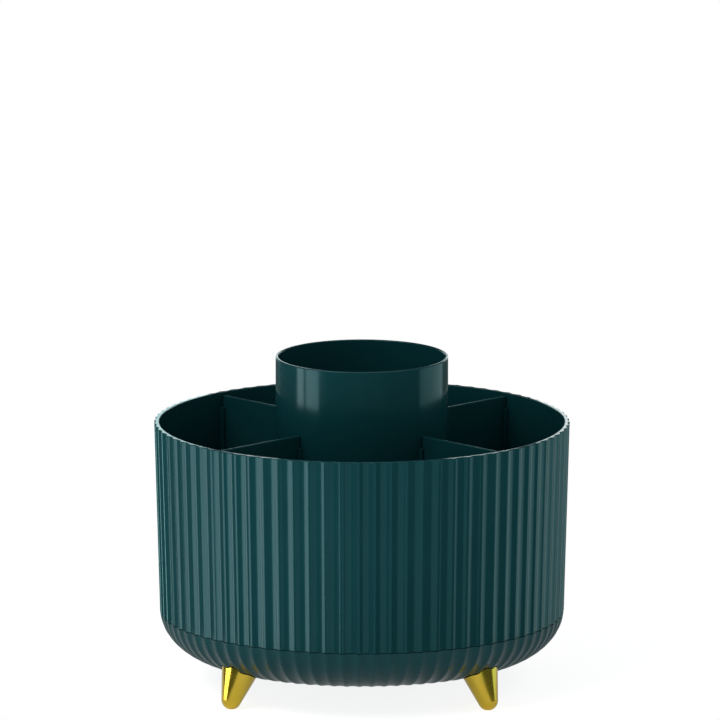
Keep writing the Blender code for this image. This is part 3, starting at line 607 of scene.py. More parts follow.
def feed(tree, node, inputs):
    """Set inputs of a node, each to a constant or to the output that feeds it."""
    for socket, value in inputs.items():
        if isinstance(value, bpy.types.NodeSocket):
            tree.links.new(value, node.inputs[socket])
        else:
            node.inputs[socket].default_value = value


def add_node(tree, kind, inputs=None, **settings):
    """Add a node with its settings and its inputs."""
    node = tree.nodes.new(kind)
    for name, value in settings.items():
        setattr(node, name, value)
    feed(tree, node, inputs or {})
    return node


def add_math(tree, operation, *terms):
    """Output of a maths node."""
    return add_node(tree, "ShaderNodeMath", dict(enumerate(terms)), operation=operation).outputs[0]


def add_noise(tree, vector, scale, detail, roughness, distortion=0.0):
    """Output of a noise node."""
    return add_node(tree, "ShaderNodeTexNoise", {
        "Vector": vector, "Scale": scale, "Detail": detail, "Roughness": roughness,
        "Distortion": distortion}).outputs["Fac"]


def add_map(tree, value, given, levels=FULL_LEVELS, curve="LINEAR"):
    """Output of a map range node, from a range to levels."""
    return add_node(tree, "ShaderNodeMapRange", {
        "Value": value, "From Min": given[0], "From Max": given[1],
        "To Min": levels[0], "To Max": levels[1]}, interpolation_type=curve).outputs["Result"]


def add_mix(tree, factor, first, second):
    """Colour output of a mix node."""
    return add_node(tree, "ShaderNodeMix", {0: factor, MIX_FIRST: first, MIX_SECOND: second},
                    data_type="RGBA").outputs[MIX_RESULT]


def new_group(name, output, kind, **inputs):
    """Start a shader node group. An input has the type of its socket, or the default of a number."""
    tree = bpy.data.node_groups.new(name, "ShaderNodeTree")
    for label, given in {"Vector": "Vector", **inputs}.items():
        is_type = isinstance(given, str)
        socket = tree.interface.new_socket(name=label, in_out="INPUT",
                                           socket_type="NodeSocket" + (given if is_type else "Float"))
        if not is_type:
            socket.default_value = given
    tree.interface.new_socket(name=output, in_out="OUTPUT", socket_type="NodeSocket" + kind)
    return tree, add_node(tree, "NodeGroupInput").outputs


def soft_variation_group():
    """Colour that drifts a little over the surface."""
    tree, given = new_group("soft_variation", "Color", "Color", Color="Color", Amount=0.05, Scale=40.0)
    noise = add_noise(tree, given["Vector"], given["Scale"], detail=3.0, roughness=0.5)
    swing = add_math(tree, "MULTIPLY", add_math(tree, "SUBTRACT", noise, MID_NOISE), given["Amount"])
    gain = add_math(tree, "MULTIPLY_ADD", swing, DRIFT_GAIN, 1.0)
    tinted = add_node(tree, "ShaderNodeVectorMath", {0: given["Color"], "Scale": gain}, operation="SCALE")
    add_node(tree, "NodeGroupOutput", {0: tinted.outputs[0]})
    return tree


def handling_group():
    """Roughness with soft smudges."""
    tree, given = new_group("handling", "Roughness", "Float", Roughness=0.2, Spread=0.1, Scale=60.0)
    noise = add_noise(tree, given["Vector"], given["Scale"], detail=4.0, roughness=0.6, distortion=0.8)
    smudge = add_map(tree, noise, SMUDGE_RANGE, curve="SMOOTHSTEP")
    total = add_math(tree, "MULTIPLY_ADD", smudge, given["Spread"], given["Roughness"])
    add_node(tree, "NodeGroupOutput", {0: total})
    return tree


def edge_wear_group():
    """Mask of the handled outer edges, broken up by a fine noise."""
    tree, given = new_group("edge_wear", "Mask", "Float", Pointiness=0.5, Amount=0.4)
    noise = add_noise(tree, given["Vector"], scale=220.0, detail=4.0, roughness=0.6)
    broken = add_map(tree, noise, BREAK_RANGE, BREAK_LEVELS)
    edges = add_map(tree, given["Pointiness"], EDGE_RANGE, curve="SMOOTHSTEP")
    masked = add_math(tree, "MULTIPLY", edges, broken)
    add_node(tree, "NodeGroupOutput", {0: add_math(tree, "MULTIPLY", masked, given["Amount"])})
    return tree


def settled_dust_group():
    """Mask of the faint dust on faces that look up."""
    tree, given = new_group("settled_dust", "Mask", "Float", Normal="Vector", Amount=0.02)
    noise = add_noise(tree, given["Vector"], scale=1400.0, detail=5.0, roughness=0.7)
    specks = add_map(tree, noise, SPECK_RANGE, SPECK_LEVELS)
    parts = add_node(tree, "ShaderNodeSeparateXYZ", {0: given["Normal"]}).outputs
    masked = add_math(tree, "MULTIPLY", specks, add_map(tree, parts["Z"], UPWARD_RANGE))
    add_node(tree, "NodeGroupOutput", {0: add_math(tree, "MULTIPLY", masked, given["Amount"])})
    return tree


def surface_relief_group():
    """Height of the fine grain, and of the rings that a lathe leaves about the axis."""
    tree, given = new_group("surface_relief", "Height", "Float", Scale=500.0, Grain=0.2, Rings=0.0)
    noise = add_noise(tree, given["Vector"], given["Scale"], detail=3.0, roughness=0.55)
    grain = add_math(tree, "MULTIPLY", noise, given["Grain"])
    parts = add_node(tree, "ShaderNodeSeparateXYZ", {0: given["Vector"]}).outputs
    flat = add_node(tree, "ShaderNodeCombineXYZ", {"X": parts["X"], "Y": parts["Y"]})
    radius = add_node(tree, "ShaderNodeVectorMath", {0: flat.outputs[0]}, operation="LENGTH")
    rings = add_node(tree, "ShaderNodeTexNoise", {
        "W": radius.outputs["Value"], "Scale": RING_SCALE, "Detail": 1.0}, noise_dimensions="1D")
    total = add_math(tree, "MULTIPLY_ADD", rings.outputs["Fac"], given["Rings"], grain)
    add_node(tree, "NodeGroupOutput", {0: total})
    return tree


GROUP_MAKERS = {
    "soft_variation": soft_variation_group,
    "handling": handling_group,
    "edge_wear": edge_wear_group,
    "settled_dust": settled_dust_group,
    "surface_relief": surface_relief_group,
}


def add_effect(tree, name, **inputs):
    """Output of a shared effect, whose group is built on first use."""
    group = bpy.data.node_groups.get(name) or GROUP_MAKERS[name]()
    return add_node(tree, "ShaderNodeGroup", inputs, node_tree=group).outputs[0]


def new_material(name):
    """Material with its node tree and its Principled shader."""
    material = bpy.data.materials.new(name)
    material.use_nodes = True
    return material, material.node_tree, material.node_tree.nodes["Principled BSDF"]


def finish(slot):
    """Material of a slot, made on first use."""
    return bpy.data.materials.get("finish_" + slot) or new_finish(slot)


def new_finish(slot):
    """Principled material with drifting colour, handled edges, dust, smudges and relief."""
    spec = {**PLAIN_FINISH, **FINISHES[slot]}
    material, tree, shader = new_material("finish_" + slot)
    place = add_node(tree, "ShaderNodeTexCoord").outputs["Object"]
    geometry = add_node(tree, "ShaderNodeNewGeometry").outputs
    colour = add_effect(tree, "soft_variation", Vector=place, Color=getattr(colours(), slot),
                        Amount=spec["variation"], Scale=spec["patch"])
    wear = add_effect(tree, "edge_wear", Vector=place, Pointiness=geometry["Pointiness"],
                      Amount=spec["wear"])
    dust = add_effect(tree, "settled_dust", Vector=place, Normal=geometry["Normal"],
                      Amount=spec["dust"])
    rough = add_effect(tree, "handling", Vector=place, Roughness=spec["roughness"],
                       Spread=spec["spread"], Scale=spec["patch"])
    relief = add_effect(tree, "surface_relief", Vector=place, Scale=spec["grain"],
                        Grain=spec["grain_height"], Rings=spec["marks"])
    worn = add_mix(tree, wear, colour, getattr(colours(), spec["worn"]))
    bump = add_node(tree, "ShaderNodeBump", {
        "Strength": BUMP_STRENGTH, "Distance": BUMP_DISTANCE, "Height": relief})
    feed(tree, shader, {
        "Base Color": add_mix(tree, dust, worn, DUST_COLOUR), "Roughness": rough,
        "Normal": bump.outputs[0], "Metallic": spec["metallic"], "IOR": spec["ior"],
        "Specular Tint": spec["tint"], "Coat Weight": spec["coat"],
        "Coat Roughness": CLEAR_COAT_ROUGHNESS})
    return material


def seen_directly(tree):
    """One for camera, mirror and see-through rays, zero for the rest."""
    path = add_node(tree, "ShaderNodeLightPath").outputs
    first = add_math(tree, "MAXIMUM", path["Is Camera Ray"], path["Is Glossy Ray"])
    return add_math(tree, "MAXIMUM", first, path["Is Transmission Ray"])


def add_floor():
    """Round pale floor that shows the shadow and otherwise melts into the background."""
    bm = bmesh.new()
    bmesh.ops.create_circle(bm, cap_ends=True, segments=LARGE_STEPS, radius=FLOOR_RADIUS)
    floor = mesh_object("studio_floor", bm)
    material, tree, shader = new_material("studio_floor")
    path = add_node(tree, "ShaderNodeLightPath").outputs
    by_camera = add_math(tree, "MULTIPLY", path["Is Camera Ray"], FLOOR_LIFT)
    in_gloss = add_math(tree, "MULTIPLY", seen_directly(tree), FLOOR_LIFT_IN_GLOSS)
    feed(tree, shader, {
        "Base Color": colours().floor, "Roughness": FLOOR_ROUGHNESS, "Specular IOR Level": 0.0,
        "Emission Color": WHITE, "Emission Strength": add_math(tree, "MAXIMUM", by_camera, in_gloss)})
    floor.data.materials.append(material)


def add_dark_wall():
    """Dark ring behind the lamps that only reflections see, as the dark part of a studio."""
    ring = bar(DARK_WALL_RADIUS, DARK_WALL_LOW, DARK_WALL_HIGH, LARGE_STEPS, closed=False)
    wall = mesh_object("studio_dark_wall", ring)
    material, tree, shader = new_material("studio_dark_wall")
    feed(tree, shader, {
        "Base Color": DARK_WALL_COLOUR, "Roughness": 1.0, "Specular IOR Level": 0.0,
        "Emission Color": DARK_WALL_GLOW_COLOUR, "Emission Strength": DARK_WALL_GLOW})
    wall.data.materials.append(material)
    wall.visible_camera = False
    wall.visible_diffuse = False
    wall.visible_shadow = False
    wall.visible_transmission = False


def add_lamp(name, location, target, width, height, radiance, colour):
    """Soft rectangular lamp that the camera doesn't see."""
    light = bpy.data.lights.new(name, "AREA")
    light.color = colour
    light.shape = "RECTANGLE"
    light.size = width
    light.size_y = height
    light.energy = radiance * math.pi * width * height
    lamp = new_object(name, light)
    lamp.location = location
    lamp.rotation_euler = (Vector(target) - Vector(location)).to_track_quat("-Z", "Y").to_euler()
    lamp.visible_camera = False
    return lamp


def add_lamps():
    """Upright softboxes round the object, one overhead, and the cards that only mirrors see."""
    for name, (start, end, low, high, radiance, colour) in LAMPS.items():
        middle = math.radians(0.5 * (start + end))
        half = math.radians(0.5 * (end - start))
        height = 0.5 * (low + high)
        location = (STUDIO_RADIUS * math.sin(middle), -STUDIO_RADIUS * math.cos(middle), height)
        add_lamp(name, location, (0.0, 0.0, height), 2.0 * STUDIO_RADIUS * math.tan(half),
                 high - low, radiance, colour)
    add_lamp("overhead_softbox", (0.0, 0.0, OVERHEAD_HEIGHT), (0.0, 0.0, 0.0),
             OVERHEAD_SIZE, OVERHEAD_SIZE, OVERHEAD_RADIANCE, NEUTRAL)
    for name, (left, right, low, high, radiance, colour) in CARDS.items():
        middle = 0.5 * (left + right)
        height = 0.5 * (low + high)
        card = add_lamp(name, (middle, CARD_DISTANCE, height), (middle, 0.0, height),
                        right - left, high - low, radiance, colour)
        card.visible_diffuse = False


def set_world():
    """White backdrop for what is seen directly, and a dim light, weaker overhead, for the rest."""
    world = bpy.data.worlds.new("studio")
    bpy.context.scene.world = world
    world.use_nodes = True
    tree = world.node_tree
    direction = add_node(tree, "ShaderNodeTexCoord").outputs["Generated"]
    parts = add_node(tree, "ShaderNodeSeparateXYZ", {0: direction}).outputs
    dim = add_map(tree, parts["Z"], LIGHT_FADE, (LIGHT_BELOW, LIGHT_OVERHEAD))
    strength = add_math(tree, "MAXIMUM", dim, seen_directly(tree))
    feed(tree, tree.nodes["Background"], {"Color": WHITE, "Strength": strength})


def set_camera():
    """Camera at the photograph's viewing angle."""
    data = bpy.data.cameras.new("camera")
    data.sensor_width = CAMERA_SENSOR
    data.lens = CAMERA_LENS
    data.clip_start = CAMERA_CLIP_START
    data.clip_end = CAMERA_CLIP_END
    camera = new_object("camera", data)
    camera.rotation_euler = (QUARTER_TURN - CAMERA_ELEVATION, 0.0, CAMERA_AZIMUTH)
    target = turn_about_z(CAMERA_AZIMUTH) @ Vector((CAMERA_SHIFT_RIGHT, 0.0, CAMERA_TARGET_HEIGHT))
    backward = camera.rotation_euler.to_matrix() @ Vector((0.0, 0.0, 1.0))
    camera.location = target + CAMERA_DISTANCE * backward
    bpy.context.scene.camera = camera


def leg_frame(angle):
    """Frame at a leg's seat on the bowl, with +Z up the leg into the bowl."""
    seat = Matrix.Translation((SEAT_RADIUS, 0.0, SEAT_HEIGHT))
    return turn_about_z(angle) @ seat @ Matrix.Rotation(-LEG_LEAN, 4, "Y")


def ring_frames(count, radius, height):
    """Frames spaced evenly round the axis."""
    place = Matrix.Translation((radius, 0.0, height))
    return [turn_about_z(index * FULL_TURN / count) @ place for index in range(count)]


def post_frames(height):
    """Frames of the deck's screw posts at a height."""
    return ring_frames(POST_COUNT, POST_CIRCLE_RADIUS, height)


def guide_frames():
    """Frames of the ribs on both sides of each panel."""
    offset = 0.5 * (DIVIDER_THICKNESS + RIB_THICKNESS) + SEAT_GAP
    return [turn_about_z(angle) @ Matrix.Translation((0.0, side * offset, 0.0))
            for angle in corner_angles() for side in (-1.0, 1.0)]


def race_groove(side):
    """Arc of a race's groove: side is -1 below the balls and +1 above them."""
    groove_radius = BALL_RADIUS + SEAT_GAP
    half_angle = math.acos((groove_radius - RACE_RIM + RACE_FLOOR) / groove_radius)
    return [(BALL_CIRCLE_RADIUS + groove_radius * math.sin(turn),
             BALL_CENTRE + side * groove_radius * math.cos(turn))
            for turn in spread(-half_angle, half_angle, GROOVE_POINTS)]


def screw_shape(head_radius, head_height, shank_radius, length):
    """Flat-headed screw with a hex socket: the head stands on the zero plane."""
    small = sizes().small_rounding
    socket = head_radius * SOCKET_WIDTH_SHARE
    floor = head_height * (1.0 - SOCKET_DEPTH_SHARE)
    bm = turned([
        (0.0, floor),
        (socket, floor),
        (socket, head_height),
        (head_radius, head_height, HEAD_SOFTNESS * small),
        (head_radius, 0.0, small),
        (shank_radius, 0.0),
        (shank_radius, shank_radius - length),
        (0.0, -length),
    ], SMALL_STEPS)
    side = FULL_TURN / HEX_SIDES
    for vert in bm.verts:
        if abs(math.hypot(vert.co.x, vert.co.y) - socket) < MERGE_DISTANCE:
            turn = math.atan2(vert.co.y, vert.co.x) % side - 0.5 * side
            flat_share = math.cos(0.5 * side) / math.cos(turn)
            vert.co.x *= flat_share
            vert.co.y *= flat_share
    return bm


class ORGANIZER_OT_tub(bpy.types.Operator):
    """Turn the fluted tub with its floor, dust lip and cup ring, and add its panel guides"""
    bl_idname = "organizer.build_tub"
    bl_label = "Build tub"

    def execute(self, context):
        rim = sizes().rim_rounding
        small = sizes().small_rounding
        lip_outer = bowl_inner_radius(LIP_BOTTOM) - LIP_GAP
        lip_inner = lip_outer - LIP_THICKNESS
        hole = BUSH_RADIUS + SEAT_GAP
        ring_outer = CUP_INNER_RADIUS - LIP_GAP
        ring_inner = ring_outer - CUP_RING_THICKNESS
        ring_top = FLOOR_TOP + CUP_RING_HEIGHT
        corners = [(tub_inner_radius(RIM_HEIGHT), RIM_HEIGHT, rim), (RIM_RADIUS, RIM_HEIGHT, rim)]
        for height in spread(RIM_HEIGHT, TUB_BOTTOM, WALL_ROWS)[1:-1]:
            corners.append((wall_radius(height), height))
        corners += [
            (wall_radius(TUB_BOTTOM), TUB_BOTTOM, sizes().seam_rounding),
            (lip_outer, TUB_BOTTOM),
            (lip_outer, LIP_BOTTOM, small),
            (lip_inner, LIP_BOTTOM, small),
            (lip_inner, FLOOR_UNDERSIDE),
            (CHANNEL_OUTER, FLOOR_UNDERSIDE),
            (CHANNEL_OUTER, FLOOR_UNDERSIDE + CHANNEL_DEPTH),
            (CHANNEL_INNER, FLOOR_UNDERSIDE + CHANNEL_DEPTH),
            (CHANNEL_INNER, FLOOR_UNDERSIDE),
            (hole, FLOOR_UNDERSIDE),
            (hole, FLOOR_TOP),
            (ring_inner, FLOOR_TOP),
            (ring_inner, ring_top, small),
            (ring_outer, ring_top, small),
            (ring_outer, FLOOR_TOP),
            (tub_inner_radius(FLOOR_TOP), FLOOR_TOP, sizes().floor_fillet),
        ]
        bm = turned(corners, COLUMNS_PER_FLUTE, sizes().flute_count)
        crowd_columns(bm)
        sink_flutes(bm, lambda radius, height: radius > wall_radius(height) - SKIN_REACH * rim)
        add_piece("tub_shell", bm, "tub", "teal_plastic", "tub")
        self.add_guides()
        return {"FINISHED"}

    def add_guides(self):
        """Add the ribs on the tub's floor and wall, a pair for each panel."""
        start = CUP_RADIUS + RIB_DEPTH + FLOOR_RIB_SETBACK
        rib_floor = FLOOR_TOP + FLOOR_RIB_HEIGHT
        root = FLOOR_TOP - WELD_DEPTH
        rib = plate([
            (start, root),
            (tub_inner_radius(root) + WELD_DEPTH, root),
            (tub_inner_radius(RIB_TOP) + WELD_DEPTH, RIB_TOP),
            (tub_inner_radius(RIB_TOP) - RIB_DEPTH, RIB_TOP),
            (tub_inner_radius(rib_floor) - RIB_DEPTH, rib_floor),
            (start, rib_floor),
        ], RIB_THICKNESS, sizes().guide_rounding)
        add_piece("tub_panel_guides", copies(rib, guide_frames()), "tub", "teal_plastic")


class ORGANIZER_OT_bowl(bpy.types.Operator):
    """Turn the fluted bowl and cut the seats of its legs and screws"""
    bl_idname = "organizer.build_bowl"
    bl_label = "Build bowl"

    def execute(self, context):
        bm = turned(self.profile(), COLUMNS_PER_FLUTE, sizes().flute_count)
        crowd_columns(bm)
        sink_flutes(bm, self.is_skin)
        boss = bar(BOSS_RADIUS, sizes().flute_depth + 0.5 * BOWL_WALL, BOSS_TOP, SMALL_STEPS)
        post = bar(POST_RADIUS, BOWL_INSIDE_FLOOR - WELD_DEPTH, DECK_UNDERSIDE - SEAT_GAP, SMALL_STEPS)
        socket = turned([
            (0.0, BOSS_TOP + OVERRUN),
            (SMALL_HOLE_RADIUS, BOSS_TOP + OVERRUN),
            (SMALL_HOLE_RADIUS, SPIGOT_LENGTH + SEAT_GAP),
            (SPIGOT_RADIUS + SEAT_GAP, SPIGOT_LENGTH + SEAT_GAP),
            (SPIGOT_RADIUS + SEAT_GAP, -OVERRUN),
            (0.0, -OVERRUN),
        ], SMALL_STEPS)
        screw_tip = DECK_TOP + SEAT_GAP - SMALL_SCREW_LENGTH
        pilot = bar(SMALL_HOLE_RADIUS, screw_tip - SCREW_GAP, DECK_UNDERSIDE + OVERRUN, SMALL_STEPS)
        legs = [leg_frame(angle) for angle in corner_angles()]
        bm = combined(bm, [
            ("UNION", copies(boss, legs)),
            ("UNION", copies(post, post_frames(0.0))),
            ("DIFFERENCE", copies(socket, legs)),
            ("DIFFERENCE", copies(pilot, post_frames(0.0))),
        ])
        add_piece("bowl_shell", bm, "base", "teal_plastic", "base_bowl")
        return {"FINISHED"}

    def profile(self):
        """Corners of the bowl's wall, from the seam down the outside and up the inside."""
        outside = self.flank(BOWL_FLANK_WIDTH, FLANK_DROP, FLANK_ROWS)
        outside[0] += (sizes().seam_rounding,)
        inside = self.flank(cavity_width(), SHOULDER_HEIGHT - BOWL_INSIDE_FLOOR, CAVITY_ROWS)
        return outside + [(0.0, BOWL_BOTTOM_HEIGHT), (0.0, BOWL_INSIDE_FLOOR)] + inside[::-1]

    def flank(self, width, drop, rows):
        """Points of a rounded flank, from the seam down to its foot."""
        first = math.asin((SHOULDER_HEIGHT - BOWL_TOP) / drop)
        return [(BOWL_FLAT_RADIUS + width * math.cos(turn), SHOULDER_HEIGHT - drop * math.sin(turn))
                for turn in spread(first, QUARTER_TURN, rows)]

    def is_skin(self, radius, height):
        """Whether a point of the profile is on the fluted outside."""
        across = (radius - BOWL_FLAT_RADIUS) / BOWL_FLANK_WIDTH
        down = (SHOULDER_HEIGHT - height) / FLANK_DROP
        return across > 0.0 and math.hypot(across, down) > SKIN_LEVEL


class ORGANIZER_OT_legs(bpy.types.Operator):
    """Turn a tapered leg with a round tip, fit its top to the flutes and place four of them"""
    bl_idname = "organizer.build_legs"
    bl_label = "Build legs"

    def execute(self, context):
        tip_centre = -LEG_REACH
        tangent_height = tip_centre - LEG_TIP_RADIUS * math.sin(LEG_TAPER)
        tangent_radius = LEG_TIP_RADIUS * math.cos(LEG_TAPER)
        root_radius = tangent_radius - tangent_height * math.tan(LEG_TAPER)
        pilot_bottom = BOSS_TOP + SEAT_GAP - SMALL_SCREW_LENGTH - SCREW_GAP
        corners = [
            (0.0, pilot_bottom),
            (SMALL_HOLE_RADIUS, pilot_bottom),
            (SMALL_HOLE_RADIUS, SPIGOT_LENGTH),
            (SPIGOT_RADIUS, SPIGOT_LENGTH, sizes().small_rounding),
            (SPIGOT_RADIUS, 0.0),
            (0.5 * (SPIGOT_RADIUS + root_radius), 0.0),
            (root_radius, 0.0),
        ]
        for turn in spread(LEG_TAPER, QUARTER_TURN, TIP_ROWS)[:-1]:
            corners.append((LEG_TIP_RADIUS * math.cos(turn),
                            tip_centre - LEG_TIP_RADIUS * math.sin(turn)))
        corners.append((0.0, tip_centre - LEG_TIP_RADIUS))
        bm = turned(corners, MEDIUM_STEPS)
        seat = leg_frame(0.0)
        for vert in bm.verts:
            if abs(vert.co.z) < MERGE_DISTANCE and vert.co.xy.length > SMALL_HOLE_RADIUS + MERGE_DISTANCE:
                widen = math.tan(LEG_TAPER) if vert.co.xy.length > root_radius - MERGE_DISTANCE else 0.0
                self.slide_to_skin(vert, seat, widen)
        bm.transform(seat)
        cut = bmesh.ops.bisect_plane(bm, geom=list(bm.verts) + list(bm.edges) + list(bm.faces),
                                     plane_co=(0.0, 0.0, 0.0), plane_no=(0.0, 0.0, -1.0),
                                     clear_outer=True)["geom_cut"]
        rim = [item for item in cut if isinstance(item, bmesh.types.BMEdge)]
        bmesh.ops.edgeloop_fill(bm, edges=rim)
        bmesh.ops.recalc_face_normals(bm, faces=bm.faces)
        for corner, angle in zip(CORNERS, corner_angles()):
            placed = copies(bm.copy(), [turn_about_z(angle)])
            add_piece("gold_leg_" + corner, placed, "base", "gold_plating", "leg_" + corner)
        bm.free()
        return {"FINISHED"}

    def slide_to_skin(self, vert, seat, widen):
        """Slide a point of the leg's top along the leg until it is just clear of the bowl."""
        start = vert.co.copy()
        outward = Vector((start.x, start.y, 0.0)).normalized()
        low = -LEG_TIP_RADIUS
        high = SPIGOT_LENGTH
        for _ in range(SLIDE_STEPS):
            middle = 0.5 * (low + high)
            vert.co = lifted(middle) @ (start + outward * widen * middle)
            if skin_offset(seat @ vert.co) > sizes().leg_gap:
                low = middle
            else:
                high = middle


class ORGANIZER_OT_bearing(bpy.types.Operator):
    """Turn the races and the ball cage, and place the balls"""
    bl_idname = "organizer.build_bearing"
    bl_label = "Build bearing"

    def execute(self, context):
        small = sizes().small_rounding
        rim = LOWER_RACE_BOTTOM + RACE_RIM
        lower = [(RACE_INNER, rim, small)] + race_groove(-1.0) + [
            (RACE_OUTER, rim, small),
            (RACE_OUTER, LOWER_RACE_BOTTOM, small),
            (RACE_INNER, LOWER_RACE_BOTTOM, small),
        ]
        add_piece("race_ring_lower", turned(lower, LARGE_STEPS), "base", "bearing_steel", "lower_race")
        rim = UPPER_RACE_TOP - RACE_RIM
        upper = [
            (RACE_INNER, UPPER_RACE_TOP, small),
            (RACE_OUTER, UPPER_RACE_TOP, small),
            (RACE_OUTER, rim, small),
        ] + race_groove(1.0)[::-1] + [(RACE_INNER, rim, small)]
        add_piece("race_ring_upper", turned(upper, LARGE_STEPS), "tub", "bearing_steel", "upper_race")
        balls = ring_frames(BALL_COUNT, BALL_CIRCLE_RADIUS, BALL_CENTRE)
        half_width = 0.5 * CAGE_WIDTH
        half_height = 0.5 * CAGE_THICKNESS
        cage = flat_ring(BALL_CIRCLE_RADIUS - half_width, BALL_CIRCLE_RADIUS + half_width,
                         BALL_CENTRE - half_height, BALL_CENTRE + half_height, LARGE_STEPS)
        pocket = bar(BALL_RADIUS + SEAT_GAP, -CAGE_THICKNESS, CAGE_THICKNESS, SMALL_STEPS)
        cage = combined(cage, [("DIFFERENCE", copies(pocket, balls))])
        add_piece("cage_ring", cage, "ball_cage", "natural_nylon", "ball_cage")
        for number, place in enumerate(balls, start=1):
            ball = bmesh.new()
            bmesh.ops.create_uvsphere(ball, u_segments=BALL_SEGMENTS, v_segments=BALL_RINGS,
                                      radius=BALL_RADIUS, matrix=place)
            add_piece(f"steel_ball_{number:02d}", ball, "ball_cage", "bearing_steel",
                      f"bearing_ball_{number:02d}")
        return {"FINISHED"}


class ORGANIZER_OT_deck(bpy.types.Operator):
    """Turn the deck that closes the bowl, with its race channel, hub and screw holes"""
    bl_idname = "organizer.build_deck"
    bl_label = "Build deck"

    def execute(self, context):
        small = sizes().small_rounding
        edge = bowl_inner_radius(DECK_UNDERSIDE) - DECK_EDGE_GAP
        bm = turned([
            (PIVOT_HOLE_RADIUS, HUB_TOP),
            (HUB_RADIUS, HUB_TOP, small),
            (HUB_RADIUS, DECK_TOP),
            (CHANNEL_INNER, DECK_TOP),
            (CHANNEL_INNER, DECK_TOP - CHANNEL_DEPTH),
            (CHANNEL_OUTER, DECK_TOP - CHANNEL_DEPTH),
            (CHANNEL_OUTER, DECK_TOP),
            (edge, DECK_TOP, small),
            (edge, DECK_UNDERSIDE, small),
            (PIVOT_HOLE_RADIUS, DECK_UNDERSIDE),
        ], LARGE_STEPS)
        hole = bar(SMALL_HOLE_RADIUS, DECK_UNDERSIDE - OVERRUN, DECK_TOP + OVERRUN, SMALL_STEPS)
        bm = combined(bm, [("DIFFERENCE", copies(hole, post_frames(0.0)))])
        add_piece("deck_disc", bm, "base", "charcoal_plastic", "base_deck")
        return {"FINISHED"}


class ORGANIZER_OT_pivot(bpy.types.Operator):
    """Turn the flanged bush, the washer and all the screws"""
    bl_idname = "organizer.build_pivot"
    bl_label = "Build pivot and screws"

    def execute(self, context):
        small = sizes().small_rounding
        bore = HUB_RADIUS + RUNNING_GAP
        flange = BUSH_RADIUS + BUSH_FLANGE_WIDTH
        bush = turned([
            (bore, FLANGE_TOP, small),
            (flange, FLANGE_TOP, small),
            (flange, FLANGE_BOTTOM, small),
            (BUSH_RADIUS, FLANGE_BOTTOM),
            (BUSH_RADIUS, FLOOR_UNDERSIDE, small),
            (bore, FLOOR_UNDERSIDE, small),
        ], MEDIUM_STEPS)
        add_piece("flanged_bush", bush, "tub", "natural_nylon", "pivot_bush")
        washer = flat_ring(PIVOT_HOLE_RADIUS, WASHER_RADIUS, WASHER_BOTTOM,
                           WASHER_BOTTOM + WASHER_THICKNESS, MEDIUM_STEPS)
        add_piece("plain_washer", washer, "base", "zinc_steel", "pivot_washer")
        pivot = screw_shape(PIVOT_HEAD_RADIUS, PIVOT_HEAD_HEIGHT, PIVOT_SHANK_RADIUS, PIVOT_SCREW_LENGTH)
        pivot.transform(lifted(PIVOT_HEAD_BOTTOM))
        add_piece("hex_screw_pivot", pivot, "base", "zinc_steel", "pivot_screw")
        sets = {
            "deck": post_frames(DECK_TOP + SEAT_GAP),
            "leg": [leg_frame(angle) @ lifted(BOSS_TOP + SEAT_GAP) for angle in corner_angles()],
        }
        for kind, frames in sets.items():
            for number, place in enumerate(frames, start=1):
                screw = screw_shape(SMALL_HEAD_RADIUS, SMALL_HEAD_HEIGHT, SMALL_SHANK_RADIUS,
                                    SMALL_SCREW_LENGTH)
                screw.transform(place)
                add_piece(f"hex_screw_{kind}_{number:02d}", screw, "base", "zinc_steel",
                          f"{kind}_screw_{number:02d}")
        return {"FINISHED"}


class ORGANIZER_OT_cup(bpy.types.Operator):
    """Turn the cup in the middle and add the ribs that hold the panels"""
    bl_idname = "organizer.build_cup"
    bl_label = "Build cup"

    def execute(self, context):
        rim = sizes().cup_rounding
        small = sizes().small_rounding
        floor_top = CUP_FLOOR_UNDERSIDE + CUP_FLOOR
        bm = turned([
            (0.0, floor_top),
            (CUP_INNER_RADIUS, floor_top, sizes().floor_fillet),
            (CUP_INNER_RADIUS, CUP_RIM, rim),
            (CUP_RADIUS, CUP_RIM, rim),
            (CUP_RADIUS, CUP_BOTTOM, small),
            (CUP_INNER_RADIUS, CUP_BOTTOM, small),
            (CUP_INNER_RADIUS, CUP_FLOOR_UNDERSIDE),
            (0.0, CUP_FLOOR_UNDERSIDE),
        ], LARGE_STEPS)
        add_piece("cup_shell", bm, "centre_cup", "teal_plastic", "centre_cup")
        rib = plate([
            (CUP_RADIUS - WELD_DEPTH, CUP_BOTTOM),
            (CUP_RADIUS + RIB_DEPTH, CUP_BOTTOM),
            (CUP_RADIUS + RIB_DEPTH, RIB_TOP),
            (CUP_RADIUS - WELD_DEPTH, RIB_TOP),
        ], RIB_THICKNESS, sizes().guide_rounding)
        add_piece("cup_panel_guides", copies(rib, guide_frames()), "centre_cup", "teal_plastic")
        return {"FINISHED"}


class ORGANIZER_OT_panels(bpy.types.Operator):
    """Make the four panels that slide down between the cup and the tub's wall"""
    bl_idname = "organizer.build_panels"
    bl_label = "Build panels"

    def execute(self, context):
        inner = CUP_RADIUS + PANEL_END_GAP
        bottom = FLOOR_TOP + SEAT_GAP
        for corner, angle in zip(CORNERS, corner_angles()):
            panel = plate([
                (inner, bottom),
                (tub_inner_radius(bottom) - PANEL_END_GAP, bottom),
                (tub_inner_radius(DIVIDER_TOP) - PANEL_END_GAP, DIVIDER_TOP),
                (inner, DIVIDER_TOP),
            ], DIVIDER_THICKNESS, sizes().panel_rounding)
            panel.transform(turn_about_z(angle))
            name = "divider_" + corner
            add_piece("slide_panel_" + corner, panel, name, "teal_plastic", name)
        return {"FINISHED"}


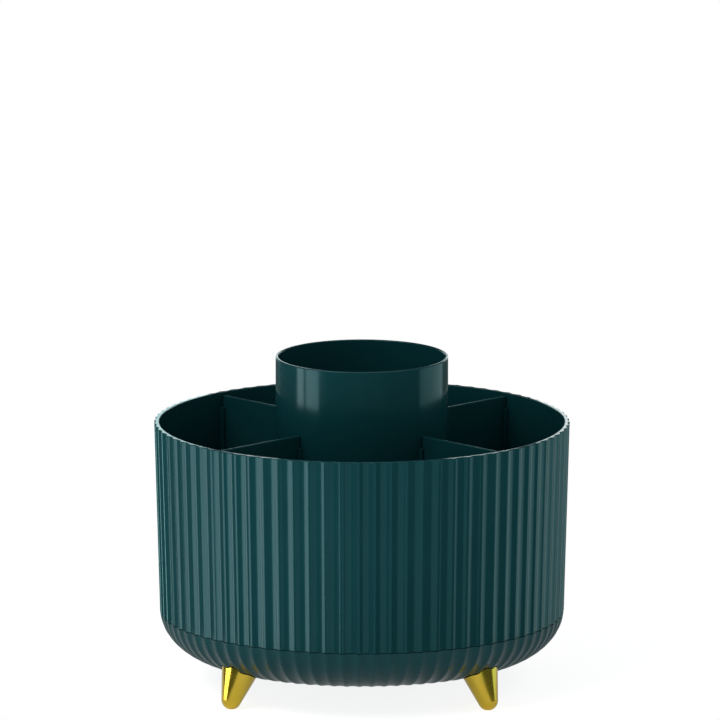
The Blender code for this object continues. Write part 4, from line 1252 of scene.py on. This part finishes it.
class ORGANIZER_OT_stage(bpy.types.Operator):
    """Set the floor, the lamps, the backdrop and the camera"""
    bl_idname = "organizer.set_stage"
    bl_label = "Set stage"

    def execute(self, context):
        set_camera()
        add_floor()
        add_dark_wall()
        add_lamps()
        set_world()
        context.scene.view_settings.view_transform = "Standard"
        return {"FINISHED"}


STEPS = (
    ORGANIZER_OT_stage,
    ORGANIZER_OT_tub,
    ORGANIZER_OT_bowl,
    ORGANIZER_OT_legs,
    ORGANIZER_OT_bearing,
    ORGANIZER_OT_deck,
    ORGANIZER_OT_pivot,
    ORGANIZER_OT_cup,
    ORGANIZER_OT_panels,
)


class ORGANIZER_PT_sidebar(bpy.types.Panel):
    """Sizes, colours and build steps of the organizer"""
    bl_idname = "ORGANIZER_PT_sidebar"
    bl_label = "Makeup organizer"
    bl_space_type = "VIEW_3D"
    bl_region_type = "UI"
    bl_category = "Organizer"

    def draw(self, context):
        column = self.layout.column()
        for group in (context.scene.organizer_sizes, context.scene.organizer_colours):
            for name in group.bl_rna.properties.keys():
                if name not in {"rna_type", "name"}:
                    column.prop(group, name)
        for step in STEPS:
            column.operator(step.bl_idname)


CLASSES = (OrganizerSizes, OrganizerColours) + STEPS + (ORGANIZER_PT_sidebar,)


def register():
    """Register the classes and the properties."""
    for item in CLASSES:
        bpy.utils.register_class(item)
    bpy.types.Scene.organizer_sizes = PointerProperty(type=OrganizerSizes)
    bpy.types.Scene.organizer_colours = PointerProperty(type=OrganizerColours)


def unregister():
    """Remove the properties and the classes."""
    del bpy.types.Scene.organizer_colours
    del bpy.types.Scene.organizer_sizes
    for item in reversed(CLASSES):
        bpy.utils.unregister_class(item)


def main():
    """Build everything in order."""
    register()
    bpy.ops.organizer.set_stage()
    bpy.ops.organizer.build_tub()
    bpy.ops.organizer.build_bowl()
    bpy.ops.organizer.build_legs()
    bpy.ops.organizer.build_bearing()
    bpy.ops.organizer.build_deck()
    bpy.ops.organizer.build_pivot()
    bpy.ops.organizer.build_cup()
    bpy.ops.organizer.build_panels()


if __name__ == "__main__":
    main()
